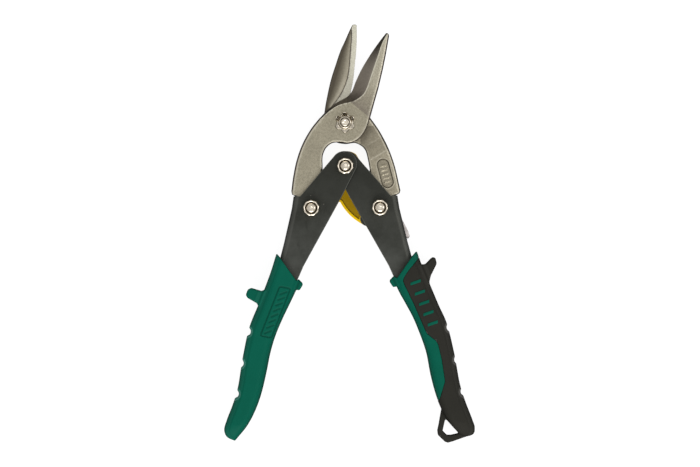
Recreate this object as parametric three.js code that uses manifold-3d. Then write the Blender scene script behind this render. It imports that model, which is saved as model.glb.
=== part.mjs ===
// Compound-action snips, open, lying on their back.
// X runs to the right, Y towards the jaw tips, Z up out of the page.
// The origin is on the main pivot's axis, at the rear face of its bolt head.
import * as THREE from "three";
import { mergeVertices } from "three/addons/utils/BufferGeometryUtils.js";
import Module from "manifold-3d";

const wasm = await Module();
wasm.setup();

// ---- driving dimensions, in millimetres ----
const shearHeight = 12.1; // shearing plane above the rear face of the main bolt head
const gap = 0.3; // between neighbouring pieces
const thinGap = 0.2; // between a washer and what it lies on
const runningGap = 0.4; // radial, where a piece turns on a bolt
const bladeThickness = 5.5;
const bladeFront = 0.1 + bladeThickness;
const tailDepth = 3.6; // how far a blade's tail reaches past the shearing plane
const sheet = 1.8; // sheet thickness of the levers
const leverHalf = 6.7; // half the height of a lever's channel
const leverShift = 1; // the left lever sits this much forward, the right one this much back
const bendRadius = 3;
const gripHalf = 10.2; // half the thickness of a grip
const handleAxis = [0, -25.4];
const rightAxis = [20.05, -49.8];
const leftAxis = [-20.05, -49.8];
const boltRadius = 3;
const mainBoltRadius = 3.7;
const threadRadius = 2.6;
const starThickness = 0.7;
const earCentre = [-0.6, -24.1];
const earRadius = 7.4;

// Heights of the sheet faces, measured from the shearing plane.
const outerFace = leverHalf + leverShift;
const outerSheetInside = outerFace - sheet;
const innerFace = leverHalf - leverShift;
const innerSheetInside = innerFace - sheet;

// ---- geometry helpers ----
const radians = (degrees) => (degrees * Math.PI) / 180;

function fromTriangles(positions, triangles) {
  const build = (order) =>
    new wasm.Manifold(
      new wasm.Mesh({
        numProp: 3,
        vertProperties: positions,
        triVerts: new Uint32Array(order),
      }),
    );
  const body = build(triangles);
  return body.volume() < 0 ? build([...triangles].reverse()) : body;
}

function toSolid(geometry) {
  geometry.deleteAttribute("normal");
  geometry.deleteAttribute("uv");
  const merged = mergeVertices(geometry, 1e-4);
  return fromTriangles(merged.attributes.position.array, [...merged.index.array]);
}

function join(...solids) {
  return solids.reduce((sum, next) => sum.add(next));
}

function cut(body, ...tools) {
  return tools.reduce((rest, tool) => rest.subtract(tool), body);
}

// Points of an arc, angles in degrees.
function arc([x, y], radius, from, to, steps = 8) {
  return Array.from({ length: steps + 1 }, (_, i) => {
    const angle = radians(from + ((to - from) * i) / steps);
    return [x + radius * Math.cos(angle), y + radius * Math.sin(angle)];
  });
}

// A smooth curve through the points, as a list of steps + 1 points.
function smooth(points, steps) {
  const curve = new THREE.CatmullRomCurve3(points.map(([x, y]) => new THREE.Vector3(x, y, 0)));
  return curve.getPoints(steps).map(({ x, y }) => [x, y]);
}

const mirrorX = (points) => points.map(([x, y]) => [-x, y]);

function toShape(points) {
  return new THREE.Shape(points.map(([x, y]) => new THREE.Vector2(x, y)));
}

// A plate of the given outline between two heights, its rims rounded by bevel.
function slab(points, low, high, bevel = 0, hole = null) {
  const shape = toShape(points);
  if (hole) shape.holes.push(toShape(hole));
  const geometry = new THREE.ExtrudeGeometry(shape, {
    depth: high - low - 2 * bevel,
    bevelEnabled: bevel > 0,
    bevelThickness: bevel,
    bevelSize: bevel,
    bevelOffset: -bevel,
    bevelSegments: 2,
  });
  return toSolid(geometry.translate(0, 0, low + bevel));
}

// A round bar along Z.
function rod([x, y], low, high, radius, sides = 24) {
  const geometry = new THREE.CylinderGeometry(radius, radius, high - low, sides);
  return toSolid(geometry.rotateX(Math.PI / 2).translate(x, y, (low + high) / 2));
}

// A turned piece about Z: profile points are [radius, height], from bottom to top.
function turned([x, y], profile, sides = 20) {
  const points = profile.map(([r, z]) => new THREE.Vector2(r, z));
  const geometry = new THREE.LatheGeometry(points, sides);
  return toSolid(geometry.rotateX(Math.PI / 2).translate(x, y, 0));
}

function turnedRing(centre, inner, outer, low, high, sides = 20) {
  const profile = [
    [inner, low],
    [outer, low],
    [outer, high],
    [inner, high],
    [inner, low],
  ];
  return turned(centre, profile, sides);
}

// A body through closed sections that all have the same number of points.
function loft(sections) {
  const count = sections[0].length;
  const positions = new Float32Array(sections.flat().flat());
  const triangles = [];
  for (let ring = 0; ring + 1 < sections.length; ring += 1) {
    for (let i = 0; i < count; i += 1) {
      const a = ring * count + i;
      const b = ring * count + ((i + 1) % count);
      triangles.push(a, b, b + count, a, b + count, a + count);
    }
  }
  const last = (sections.length - 1) * count;
  for (const [a, b, c] of capTriangles(sections[0])) triangles.push(c, b, a);
  for (const [a, b, c] of capTriangles(sections.at(-1))) triangles.push(last + a, last + b, last + c);
  return fromTriangles(positions, triangles);
}

// Triangulates a flat closed section in its own plane, keeping its direction of travel.
function capTriangles(section) {
  const points = section.map((p) => new THREE.Vector3(...p));
  const normal = new THREE.Vector3();
  points.forEach((p, i) => normal.add(p.clone().cross(points[(i + 1) % points.length])));
  normal.normalize();
  const across = points[1].clone().sub(points[0]).normalize();
  const up = normal.clone().cross(across);
  const flat = points.map((p) => new THREE.Vector2(p.dot(across), p.dot(up)));
  return THREE.ShapeUtils.triangulateShape(flat, []);
}

// Where a smooth edge crosses the height y; the edge runs from high y to low y.
function edgeAt(edge, y) {
  const after = edge.findIndex(([, edgeY]) => edgeY <= y);
  if (after === -1) return edge.at(-1)[0];
  if (after === 0) return edge[0][0];
  const [x0, y0] = edge[after - 1];
  const [x1, y1] = edge[after];
  return x0 + ((x1 - x0) * (y - y0)) / (y1 - y0);
}

// A large block whose lower face is a slope: it starts at the point, rises in direction
// heading by the angle rise, and everything above it is block.
function slope([x, y, z], heading, rise, reach = 70, behind = 0) {
  const geometry = new THREE.BoxGeometry(reach + behind, 2 * reach, 20);
  geometry.translate((reach - behind) / 2, 0, 10);
  geometry.rotateY(-radians(rise)).rotateZ(radians(heading)).translate(x, y, z);
  return toSolid(geometry);
}

// ---- blades ----

// Cutting edge and ridge of the front blade, both from the tip down to the shoulder:
// the bevel lies between them.
const frontEdge = smooth(
  [[24.4, 52.2], [20.4, 47.1], [15.3, 39.9], [10.2, 31.6], [6.4, 23.8], [4.1, 18.2], [1.6, 15.3],
    [-4.9, 11.7], [-10, 7.7], [-14.5, 3.1]],
  30,
);
const frontRidge = smooth(
  [[24.9, 51.4], [22, 46], [19.7, 39], [16.5, 29.8], [13.4, 20.8], [11.2, 16.6], [6.2, 12.9],
    [-3.8, 10], [-9.1, 6.6], [-13.8, 2.4]],
  30,
);
const frontBack = [[26.2, 50.3], [24.3, 39.8], [22.4, 30.8], [19.7, 19.8], [16.8, 9.9], [14.8, 2.9]];
const frontShoulder = smooth(
  [[-14.5, 3.1], [-20, -3.8], [-25.1, -12.8], [-28.5, -22.3], [-30.6, -32.3], [-31.6, -39.8]],
  12,
);
const frontHeel = [[-31.2, -41.8], [-29.6, -42.6], [-27.6, -43.6]];
const frontInside = smooth(
  [[-13.3, -26], [-13.1, -19], [-11, -14.5], [-7.6, -11.9], [-3.1, -11.5], [1.4, -12.1],
    [5.6, -11.1], [9.6, -8.2], [12.4, -3.8], [14.2, 1]],
  22,
);
const frontOutline = [
  ...frontEdge,
  ...frontShoulder.slice(1),
  ...frontHeel,
  ...arc(leftAxis, 7.6, 170, 360, 12),
  ...frontInside,
  ...[...frontBack].reverse(),
];

const rearEdge = smooth(
  [[7.4, 56.2], [7.4, 50], [7, 42.5], [6, 33], [5.1, 25], [3.8, 18.7], [3, 15.5]],
  14,
);
const rearBack = smooth(
  [[4.4, 56.5], [2.4, 52.5], [0.4, 48], [-2.2, 42.5], [-5.2, 34], [-8.1, 25], [-10.2, 16],
    [-11.7, 8.1], [-12.6, 1]],
  16,
);
const rearShoulder = smooth(
  [[14.8, 2.9], [20, -4.7], [24.9, -14.2], [28.8, -25.2], [31.4, -36.7], [32.1, -39.8]],
  12,
);
const rearHeel = [[31.7, -41.3], [30.2, -42.3], [27.6, -43.4]];
const rearInside = smooth(
  [[14.3, -27.1], [13.3, -21.5], [11.9, -16.3], [9.9, -13.8], [5.9, -11.8], [0, -12.3], [-6, -10.9],
    [-11, -6], [-12.6, 1]],
  18,
);
const rearOutline = [
  ...rearShoulder,
  ...rearHeel,
  ...arc(rightAxis, 7.6, 10, -180, 12),
  ...rearInside.slice(0, -1),
  ...[...rearBack].reverse(),
  [5.6, 57.5],
  [7.1, 57.4],
  ...rearEdge,
  [5, 12.8],
  [9.5, 9],
];
const landEdge = smooth(
  [[4.4, 57.6], [4.3, 50], [3.7, 42.5], [2.8, 32.5], [1.8, 26.5], [-0.3, 20.5], [-3.5, 14.8], [-7.5, 9.6]],
  14,
);

// The front face falls away towards the tip beyond this crease.
const crease = { point: [9, 7.3, bladeFront], heading: 50, fall: 2.9 };
const edgeLand = 0.5; // flat height left at the cutting edge under the bevel
const hollowDepth = 1.1;

function frontHeightAt([x, y]) {
  const heading = radians(crease.heading);
  const beyond = (x - crease.point[0]) * Math.cos(heading) + (y - crease.point[1]) * Math.sin(heading);
  return bladeFront - Math.max(beyond, 0) * Math.tan(radians(crease.fall));
}

// The block cut away to leave a bevel from an edge up to a ridge.
function bevelCutter(edge, ridge, edgeHeight, ridgeHeightAt) {
  const over = 0.6;
  const sections = edge.map((low, i) => {
    const high = ridge[i];
    const width = Math.hypot(high[0] - low[0], high[1] - low[1]);
    const along = [(high[0] - low[0]) / width, (high[1] - low[1]) / width];
    const ridgeHeight = ridgeHeightAt(high);
    const steepness = (ridgeHeight - edgeHeight) / width;
    const outside = [low[0] - over * along[0], low[1] - over * along[1]];
    const inside = [high[0] + over * along[0], high[1] + over * along[1]];
    const top = bladeFront + 8;
    return [
      [...outside, edgeHeight - over * steepness],
      [...inside, ridgeHeight + over * steepness],
      [...inside, top],
      [...outside, top],
    ];
  });
  return loft(sections);
}

// The shallow groove ground into the rear blade beside its land.
function hollowCutter() {
  const steps = 6;
  const top = 3;
  const sections = landEdge.map((land, i) => {
    const back = rearBack[Math.round((i * (rearBack.length - 3)) / (landEdge.length - 1))];
    const out = [back[0] - 1.5, back[1]];
    const floor = Array.from({ length: steps + 1 }, (_, k) => {
      const share = k / steps;
      const depth = 0.1 + hollowDepth * Math.sin(Math.PI * Math.min(share * 1.05, 1)) ** 0.7;
      return [land[0] + (out[0] - land[0]) * share, land[1] + (out[1] - land[1]) * share, -depth];
    });
    return [...floor, [...out, top], [...land, top]];
  });
  return loft(sections);
}

// The thick part of a tail, with a ramp up to it, as it is on the rear blade.
function tailPad(outline) {
  const rampStart = [16.9, -11.1, -0.1];
  const rampHeading = -59.5;
  const rampRise = 24.3;
  const pad = slab(outline, -0.6, tailDepth);
  const aboveRamp = slope(rampStart, rampHeading, rampRise, 70, 90);
  const everythingBelow = slab([[-90, -90], [90, -90], [90, 90], [-90, 90]], -60, -0.35);
  const overhang = slab([[-60, -70], [9, -70], [9, 70], [-60, 70]], -2, 8);
  return cut(pad, cut(aboveRamp, everythingBelow), overhang);
}

function halfTurn(body) {
  return body.transform([-1, 0, 0, 0, 0, 1, 0, 0, 0, 0, -1, 0, 0, 0, 0, 1]);
}

function makeFrontBlade() {
  const plate = slab(frontOutline, 0.1, bladeFront);
  const pad = halfTurn(tailPad(mirrorX(frontOutline)));
  const fall = slope(crease.point, crease.heading, -crease.fall);
  return cut(
    join(plate, pad),
    fall,
    bevelCutter(frontEdge, frontRidge, 0.1 + edgeLand, frontHeightAt),
    rod([0, 0], -10, 10, mainBoltRadius + runningGap, 32),
    rod(leftAxis, -10, 10, boltRadius + runningGap, 24),
  );
}

function makeRearBlade() {
  const plate = slab(rearOutline, -bladeFront, -0.1);
  const pad = tailPad(rearOutline);
  const rearRidge = rearEdge.map(([x, y]) => [x - 3.6 - (56 - y) * 0.08, y - 0.5]);
  const mirrored = mirrorX(rearEdge).map(([x, y]) => [x, y + 0.4]);
  const bevel = bevelCutter(mirrored, mirrorX(rearRidge), 0.1 + edgeLand, () => bladeFront);
  const badge = (r) => [...arc([22.4, -25.2], r, 7.5, 187.5, 8), ...arc([24, -34.9], r, 187.5, 367.5, 8)];
  return cut(
    join(plate, pad),
    hollowCutter(),
    halfTurn(bevel),
    slab(badge(3.4), tailDepth - 0.5, tailDepth + 1, 0, [...badge(2.8)].reverse()),
    rod([0, 0], -10, 10, mainBoltRadius + gap, 32),
    rod(rightAxis, -10, 10, boltRadius + runningGap, 24),
  );
}

// ---- levers: two equal pressings, the right one turned over ----
const webTop = -43.3;
const tangEnd = -130;
const leverOutside = [
  [-30.4, webTop], [-31.4, -50], [-33.8, -60], [-36.1, -70], [-38.5, -79], [-42.3, -90.6],
  [-47.3, -105], [-51.4, -120], [-54, tangEnd],
];
const leverInside = [
  [-2.3, webTop], [-25, -83.8], [-28, -90.6], [-36, -105], [-42.8, -120], [-46.5, tangEnd],
];

function channelSection(y) {
  const out = edgeAt(leverOutside, y);
  const inn = edgeAt(leverInside, y);
  const half = leverHalf;
  const bend = (radius, from, to, side) =>
    arc([out + bendRadius, side * (half - bendRadius)], radius, from, to, 3);
  const outline = [
    [inn, half],
    ...bend(bendRadius, 90, 180, 1),
    ...bend(bendRadius, 180, 270, -1),
    [inn, -half],
    [inn, -half + sheet],
    ...bend(bendRadius - sheet, 270, 180, -1),
    ...bend(bendRadius - sheet, 180, 90, 1),
    [inn, half - sheet],
  ];
  return outline.map(([x, z]) => [x, y, z + leverShift]);
}

// The full block that the channel's tang fills, for the socket around it.
function tangBlock(grow, from, to) {
  const levels = [from, -90.6, -105, -120, to];
  return loft(
    levels.map((y) => {
      const out = edgeAt(leverOutside, y) - grow;
      const inn = edgeAt(leverInside, y) + grow;
      const half = leverHalf + grow;
      return [
        [out, y, -half + leverShift],
        [inn, y, -half + leverShift],
        [inn, y, half + leverShift],
        [out, y, half + leverShift],
      ];
    }),
  );
}

function makeLever() {
  const levels = [webTop, -50, -60, -70, -79, -83.8, -90.6, -105, -120, tangEnd];
  const channel = loft(levels.map((y) => channelSection(y)));
  const overlapY = webTop - 1.2;
  const ear = [
    [-26.8, webTop],
    ...arc(earCentre, earRadius, 139, -30, 16),
    [edgeAt(leverInside, webTop), webTop],
    [edgeAt(leverInside, overlapY), overlapY],
    [-27.3, overlapY],
  ];
  const plates = [slab(ear, outerSheetInside, outerFace), slab(ear, -innerFace, -innerSheetInside)];
  return cut(
    join(channel, ...plates),
    rod(leftAxis, -15, 15, boltRadius + gap),
    rod(handleAxis, -15, 15, boltRadius + runningGap),
  );
}

function makeRightLever(lever) {
  const lobe = rod([12.6, -56.3], -outerFace, -outerSheetInside, 4.2);
  const mouth = -outerFace - 0.1;
  const countersink = turned(handleAxis, [[0, mouth], [5.3, mouth], [3.3, -5.4], [0, -5.4]]);
  return cut(join(halfTurn(lever), lobe), countersink);
}

// ---- grips ----
const leftGripOutside = smooth(
  [[-38.5, -70], [-40.9, -77], [-44.3, -87.5], [-51.5, -106], [-56.8, -119], [-60.9, -137], [-64, -155],
    [-67.2, -165], [-70.4, -173], [-72, -179], [-70.4, -183], [-65.6, -185.3]],
  60,
);
const leftGripInside = smooth(
  [[-20, -70], [-24.2, -84], [-29, -97], [-32.3, -104], [-37.2, -114], [-41.5, -124], [-44.6, -134],
    [-46.9, -145], [-50.1, -158], [-53.8, -168], [-58.4, -176.5], [-65.6, -185.3]],
  60,
);
const rightGripOutside = smooth(
  [[38.6, -70], [41.6, -76], [43.8, -82.5], [48.1, -93], [54.1, -107.5], [58.3, -117], [62.7, -135],
    [66.1, -154], [69.4, -164.5], [73, -174], [74.5, -179], [73.6, -182.5], [69.5, -184]],
  60,
);
const rightGripInside = smooth(
  [[20, -70], [25.2, -85], [30.4, -98.2], [34.2, -105.3], [38.8, -114], [43, -124.3], [46.4, -134.5],
    [49, -148.4], [52.2, -160.4], [55.2, -168], [58.9, -175], [64.7, -182], [69.5, -184]],
  60,
);
const gripTop = -72;
const gripStations = [gripTop, -84, -96, -108, -120, -132, -144, -154, -163, -170, -175, -179, -182, -183.6];

// One section of a grip: a rounded block, thinner near the lower end.
function gripSection(outside, inside, y, shift, endY, shrink = 0, corner = 0.6) {
  const x0 = edgeAt(outside, y);
  const x1 = edgeAt(inside, y);
  const middle = (x0 + x1) / 2;
  const halfWidth = Math.abs(x1 - x0) / 2 - shrink;
  const nearEnd = Math.max(0, 1 - (y - endY) / 12);
  const halfHeight = (gripHalf - shrink) * Math.sqrt(1 - 0.75 * nearEnd ** 2);
  return Array.from({ length: 20 }, (_, i) => {
    const angle = radians(i * 18 + 9);
    const c = Math.cos(angle);
    const s = Math.sin(angle);
    const x = middle + Math.sign(c) * halfWidth * Math.abs(c) ** corner;
    return [x, y, shift + Math.sign(s) * halfHeight * Math.abs(s) ** corner];
  });
}

function gripBody(outside, inside, shift, endY) {
  const stations = [...gripStations.filter((y) => y > endY + 0.8), endY + 0.5];
  return loft(stations.map((y) => gripSection(outside, inside, y, shift, endY)));
}

// What lies above the slanted collar, as a cutter.
function aboveCollar(side) {
  const line = [[-44, -72.4], [-40.2, -76.6], [-38.2, -79], [-29.4, -91.4], [-24.5, -98.4]];
  const outline = [...line, [0, -98], [0, -50], [-70, -50]];
  return slab(side < 0 ? outline : mirrorX(outline), -20, 20);
}

function collarNub(side, lift, shift) {
  const left = [
    [-32, -93], [-28.9, -92], [-27.9, -91.2], [-25.6, -93.6], [-25.5, -94.9], [-27.3, -97.7],
    [-29.6, -97.3], [-33, -97],
  ];
  const outline = left.map(([x, y]) => [-side * x, y + lift]);
  return slab(outline, shift - 8.2, shift + 8.2, 0.6);
}

// Finger notches cut across the outer side.
function notches(points) {
  return points.map((centre) => rod(centre, -20, 20, 2.9, 16));
}

function makeLeftGrip() {
  const guard = [
    [-46, -97], [-49.8, -98], [-55.6, -96.4], [-57.2, -97], [-58.4, -100.3], [-57.3, -101.8],
    [-52.2, -105], [-51.4, -107.5], [-46, -106],
  ];
  const body = join(
    gripBody(leftGripOutside, leftGripInside, leverShift, -185.3),
    slab(guard, leverShift - 8.4, leverShift + 8.4, 1.6),
  );
  const shaped = join(cut(body, aboveCollar(-1)), collarNub(-1, 0, leverShift));
  const frame = (r) => [
    ...arc([-38, -96.7], r, 78, 158, 3),
    ...arc([-49.2, -123.3], r, 158, 258, 3),
    ...arc([-44.6, -124.3], r, 258, 338, 3),
    ...arc([-33.4, -97.7], r, -22, 78, 3),
  ];
  return cut(
    shaped,
    tangBlock(gap, gripTop, tangEnd - gap),
    ...notches([[-58.6, -121.4], [-62.9, -139.9], [-65.9, -157.7]]),
    slab(frame(1.2), leverShift + gripHalf - 0.6, 20, 0, [...frame(0.5)].reverse()),
  );
}

// Border between the hard core and the soft cover on the right grip, from the collar down.
const coverBorder = [
  [45.5, -75.5], [39.9, -82.4], [35.8, -87.3], [33.6, -90.8], [33.1, -92.6], [33.9, -94.8],
  [39.2, -105.8], [45.8, -121.4], [47, -123.6], [52, -127.6], [53.3, -129.9], [55.3, -138.4],
  [56.8, -149], [57.1, -151.5], [53.8, -162.2], [50, -165.5],
];

function coverZone(shift) {
  const line = coverBorder.map(([x, y]) => [x + shift, y]);
  return slab([...line, [50, -200], [95, -200], [95, -65]], -20, 20);
}

function coreInCover(grow) {
  const levels = [-84, -96, -108, -120, -132, -144, -156];
  const coreShrink = 1.9;
  const outside = rightGripOutside.map(([x, y]) => [x - 1.4 + grow, y]);
  return loft(
    levels.map((y) => gripSection(outside, rightGripInside, y, -leverShift, -500, coreShrink - grow, 0.35)),
  );
}

// Five slanted bars stand out of the core through windows in the cover.
function markBars(grow, top) {
  const first = [40.4, -93.5];
  const last = [50.2, -117.5];
  const bars = 5;
  return Array.from({ length: bars }, (_, i) => {
    const share = i / (bars - 1);
    const x = first[0] + (last[0] - first[0]) * share;
    const y = first[1] + (last[1] - first[1]) * share;
    const halfLong = 3 + grow;
    const halfWide = 0.9 + grow;
    const tilt = 1;
    const bar = [
      [x - halfLong, y - halfWide - tilt],
      [x + halfLong, y - halfWide + tilt],
      [x + halfLong, y + halfWide + tilt],
      [x - halfLong, y + halfWide - tilt],
    ];
    return slab(bar, 5, top);
  });
}

function makeRightGrip() {
  const shift = -leverShift;
  const guard = [
    [41, -82], [44.6, -83.2], [46.4, -83.2], [49.2, -80.2], [51, -78.7], [52.2, -79.6],
    [53, -82.7], [49.4, -89.8], [48.6, -93], [48.8, -95.5], [43, -95],
  ];
  const loopOutside = [
    [56.5, -166], [55, -168.4], [53.4, -176.9], [52.6, -180.5], [52.9, -183], [56.9, -186.9],
    [58.6, -187.5], [61.2, -186.8], [69.4, -184], [72, -183], [72, -178], [66, -170],
  ];
  const loopHole = [
    [57.5, -173.6], [65.2, -182.2], [60.4, -183.2], [58.2, -183.2], [55.6, -180.5], [57, -174.4],
  ];
  const hole = slab(loopHole, -20, 20);
  const body = join(
    cut(gripBody(rightGripOutside, rightGripInside, shift, -184), aboveCollar(1)),
    slab(guard, shift - 8.4, shift + 8.4, 0.9),
    slab(loopOutside, shift - 4.6, shift + 4.6, 0.8),
    collarNub(1, 1.4, shift),
  );
  const tang = halfTurn(tangBlock(gap, gripTop, tangEnd - gap));
  const shaped = cut(body, hole, tang, ...notches([[61.1, -119.9], [65.4, -138.9], [69, -157.5]]));
  const wholeGrip = slab([[0, -200], [90, -200], [90, -60], [0, -60]], -20, 20);
  const inner = cut(coreInCover(0), cut(wholeGrip, coverZone(-2)));
  const barTop = 8.9;
  const core = cut(join(cut(shaped, coverZone(0)), inner, ...markBars(0, barTop)), tang, aboveCollar(1));
  const cover = cut(
    shaped.intersect(coverZone(0.3)),
    cut(coreInCover(0.22), aboveCollar(1)),
    ...markBars(0.22, 20),
  );
  return { core, cover };
}

// ---- fasteners ----
const washerThickness = 0.5;

// Toothed washer under a nut.
function makeToothedWasher(axis, seat) {
  const low = seat + thinGap;
  const teeth = 9;
  const pitch = 360 / teeth;
  const rim = Array.from({ length: teeth }, (_, i) => [
    ...arc(axis, 4.7, i * pitch, i * pitch + 0.6 * pitch, 1),
    ...arc(axis, 5.3, i * pitch + 0.7 * pitch, i * pitch + 0.9 * pitch, 1),
  ]).flat();
  return slab(rim, low, low + washerThickness, 0, arc(axis, boltRadius + gap, 360, 20, 17));
}

// Round lock nut: a ring with a dished top that the bolt's domed end rises through.
function makeLockNut(axis, seat) {
  const low = seat + 2 * thinGap + washerThickness;
  const bore = boltRadius + 0.2;
  const profile = [
    [bore, 0], [4.8, 0], [4.9, 0.5], [4.8, 1.4], [4.5, 2.6], [4.2, 2.9], [3.8, 2.9],
    [3.5, 2.4], [3.3, 1.8], [bore, 1.7], [bore, 0],
  ];
  return turned(axis, profile.map(([r, z]) => [r, z + low]), 20);
}

function domedShank(radius, low, top) {
  return [
    [radius, low],
    [radius, top - 1.2],
    [radius * 0.86, top - 0.5],
    [radius * 0.5, top - 0.1],
    [0, top],
  ];
}

function hexagon([x, y], acrossFlats) {
  return arc([x, y], acrossFlats / Math.sqrt(3), 0, 300, 5);
}

// Main bolt: hexagon head, a wide shank through both blades and a thinner threaded end.
function makeMainBolt() {
  const headLow = -shearHeight;
  const headHigh = -7.2;
  const shoulder = bladeFront - 0.3;
  const tip = 9.9;
  const head = slab(hexagon([0, 0], 12), headLow, headHigh, 0.5);
  const shank = [
    [0, headHigh - 1],
    [mainBoltRadius, headHigh - 1],
    [mainBoltRadius, shoulder],
    ...domedShank(threadRadius, shoulder, tip),
  ];
  return join(head, turned([0, 0], shank, 28));
}

// Star washer: six points, three of them bent up against the nut.
function makeStarWasher() {
  const low = bladeFront + thinGap;
  const points = Array.from({ length: 6 }, (_, i) => [
    ...arc([0, 0], 5.9, 84 + i * 60, 96 + i * 60, 1),
    arc([0, 0], 4.7, 120 + i * 60, 120 + i * 60, 1)[0],
  ]).flat();
  const tabs = [30, 90, 150].map((angle) => {
    const tab = new THREE.BoxGeometry(0.8, 2.6, starThickness + 1.6);
    tab.translate(4.75, 0, low + 0.5 * (starThickness + 1.6)).rotateZ(radians(angle));
    return toSolid(tab);
  });
  return cut(join(slab(points, low, low + starThickness), ...tabs), rod([0, 0], -20, 20, threadRadius + gap));
}

// Round nut, chamfered on top, inside the bent points of the star washer.
function makeMainNut() {
  const low = bladeFront + thinGap * 2 + starThickness;
  const bore = threadRadius + 0.2;
  const profile = [[bore, 0], [4, 0], [4, 1.7], [3.6, 2.2], [3.1, 2.2], [bore, 1.7], [bore, 0]];
  return turned([0, 0], profile.map(([r, z]) => [r, z + low]), 24);
}

function makeLeftBolt() {
  const head = -innerFace - thinGap;
  const stud = 1.8;
  const studEnd = -10.9;
  const profile = [
    [0, studEnd], [stud, studEnd], [stud, head - 1.4], [4.4, head - 1.4], [5, head - 0.9], [5, head],
    ...domedShank(boltRadius, head, outerFace + 4),
  ];
  return turned(leftAxis, profile);
}

const plateHigh = -9.85;
const plateLow = -10.85;

function makeRightBolt() {
  const head = plateLow - 0.15;
  const profile = [
    [0, -shearHeight], [4.6, -shearHeight], [5, -shearHeight + 0.4], [5, head],
    ...domedShank(boltRadius, head, innerFace + 4),
  ];
  return turned(rightAxis, profile);
}

function makeHandleBolt() {
  const low = -outerFace + 0.05;
  const neck = -5.6;
  return turned(handleAxis, [[0, low], [4.9, low], ...domedShank(boltRadius, neck, outerFace + 4)]);
}

// ---- return spring ----
class SpringPath extends THREE.Curve {
  constructor() {
    super();
    const [x, y] = handleAxis;
    const coil = 5.6;
    const turns = 3.5;
    const rise = 2.8;
    const perTurn = 12;
    const steps = turns * perTurn;
    const points = [[-11, -46.2, -2.9], [-7.6, -37, -2.9], [-5.9, -30.5, -2.9]];
    for (let i = 0; i <= steps; i += 1) {
      const angle = Math.PI - (i / steps) * turns * 2 * Math.PI;
      points.push([x + coil * Math.cos(angle), y + coil * Math.sin(angle), -rise + (2 * rise * i) / steps]);
    }
    points.push([5.9, -30.5, 2.9], [7.6, -37, 2.9], [11, -46.2, 2.9]);
    this.curve = new THREE.CatmullRomCurve3(points.map((p) => new THREE.Vector3(...p)));
  }

  getPoint(t, target) {
    return this.curve.getPoint(t, target);
  }
}

function makeSpring() {
  const wire = toShape(arc([0, 0], 0.68, 0, 300, 5));
  const geometry = new THREE.ExtrudeGeometry(wire, { steps: 76, extrudePath: new SpringPath() });
  return toSolid(geometry);
}

// ---- latch ----
const leafHigh = -8.4;
const leafLow = -10.6;
const leafArc = { centre: [24, -32.4], radius: 30.5 };

const leafOutline = [
  ...arc(leafArc.centre, leafArc.radius, 206.8, 248, 12),
  [17, -61.6],
  [24.5, -59.6],
  ...arc(rightAxis, 8.6, -50, 45, 6),
  [21, -38],
  [11.4, -26.6],
  ...arc([1.2, -24.3], 7.9, 48, 150, 10),
  [-7.3, -31],
  [-9.2, -40],
  [-10, -47],
  [-9.8, -52.2],
  [-8.6, -53.2],
  [-7.6, -52.6],
  [-7.3, -48.2],
  [-5.6, -46.3],
];

const plateOutline = [
  ...arc(rightAxis, 7, 60, 200, 8),
  [12.5, -57.5],
  [15.5, -61.5],
  [24, -63.5],
  [33, -67],
  [36.6, -68],
  [37.6, -66.8],
  [36.6, -63.5],
  [33.6, -57.6],
  [30, -53],
];

const rivets = [[14.6, -55.2], [24.5, -56.6]];
const rivetRadius = 1.4;

function makeLatchLever() {
  // A rim is left standing round the leaf's front face; the hub and the riveted zone stay full height.
  const panel = [
    ...arc(leafArc.centre, leafArc.radius - 1.4, 207.5, 236, 8),
    [9.4, -50.5],
    [10.2, -46],
    [3.6, -35],
    [-4.2, -38],
    [-4.4, -43.6],
  ];
  return cut(
    slab(leafOutline, leafLow, leafHigh),
    slab(panel, leafHigh - 0.8, leafHigh + 1),
    slab(plateOutline, leafLow - 1, plateHigh + 0.15),
    rod(rightAxis, leafLow - 1, plateHigh + 0.15, 7.4),
    rod(rightAxis, -20, 0, boltRadius + runningGap),
    ...rivets.map((at) => rod(at, -20, 0, rivetRadius + gap, 16)),
  );
}

function makeThumbPlate() {
  return cut(
    slab(plateOutline, plateLow, plateHigh),
    rod(rightAxis, -20, 0, boltRadius + runningGap),
    ...rivets.map((at) => rod(at, -20, 0, rivetRadius + gap, 16)),
  );
}

function makeRivet(at) {
  const headHigh = plateLow - thinGap;
  const headLow = headHigh - 0.5;
  const end = leafHigh - 0.2;
  const profile = [
    [0, headLow], [1.6, headLow], [2.4, headHigh - 0.1], [2.4, headHigh], [rivetRadius, headHigh],
    [rivetRadius, end], [0, end],
  ];
  return turned(at, profile, 16);
}

// ---- materials ----
function finish(colour, roughness, metalness) {
  return new THREE.MeshStandardMaterial({ color: colour, roughness, metalness });
}

const bladeSteel = finish(0x969080, 0.42, 1);
const blackSteel = finish(0x2f312f, 0.5, 0.6);
const nickel = finish(0xd8cdb6, 0.25, 1);
const springSteel = finish(0x5a5a58, 0.35, 1);
const greenPlastic = finish(0x0e6950, 0.45, 0);
const blackRubber = finish(0x32302c, 0.75, 0);
const yellowPlastic = finish(0xc79a00, 0.5, 0);
const greySteel = finish(0x8d8880, 0.4, 1);

function named(name, body, material) {
  const { numProp, vertProperties, triVerts } = body.getMesh();
  const positions = new Float32Array((vertProperties.length / numProp) * 3);
  for (let i = 0; i * numProp < vertProperties.length; i += 1) {
    positions.set(vertProperties.subarray(i * numProp, i * numProp + 3), i * 3);
  }
  const geometry = new THREE.BufferGeometry();
  geometry.setAttribute("position", new THREE.BufferAttribute(positions, 3));
  geometry.setIndex(new THREE.BufferAttribute(new Uint32Array(triVerts), 1));
  geometry.computeVertexNormals();
  const mesh = new THREE.Mesh(geometry, material);
  mesh.name = name;
  return mesh;
}

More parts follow.
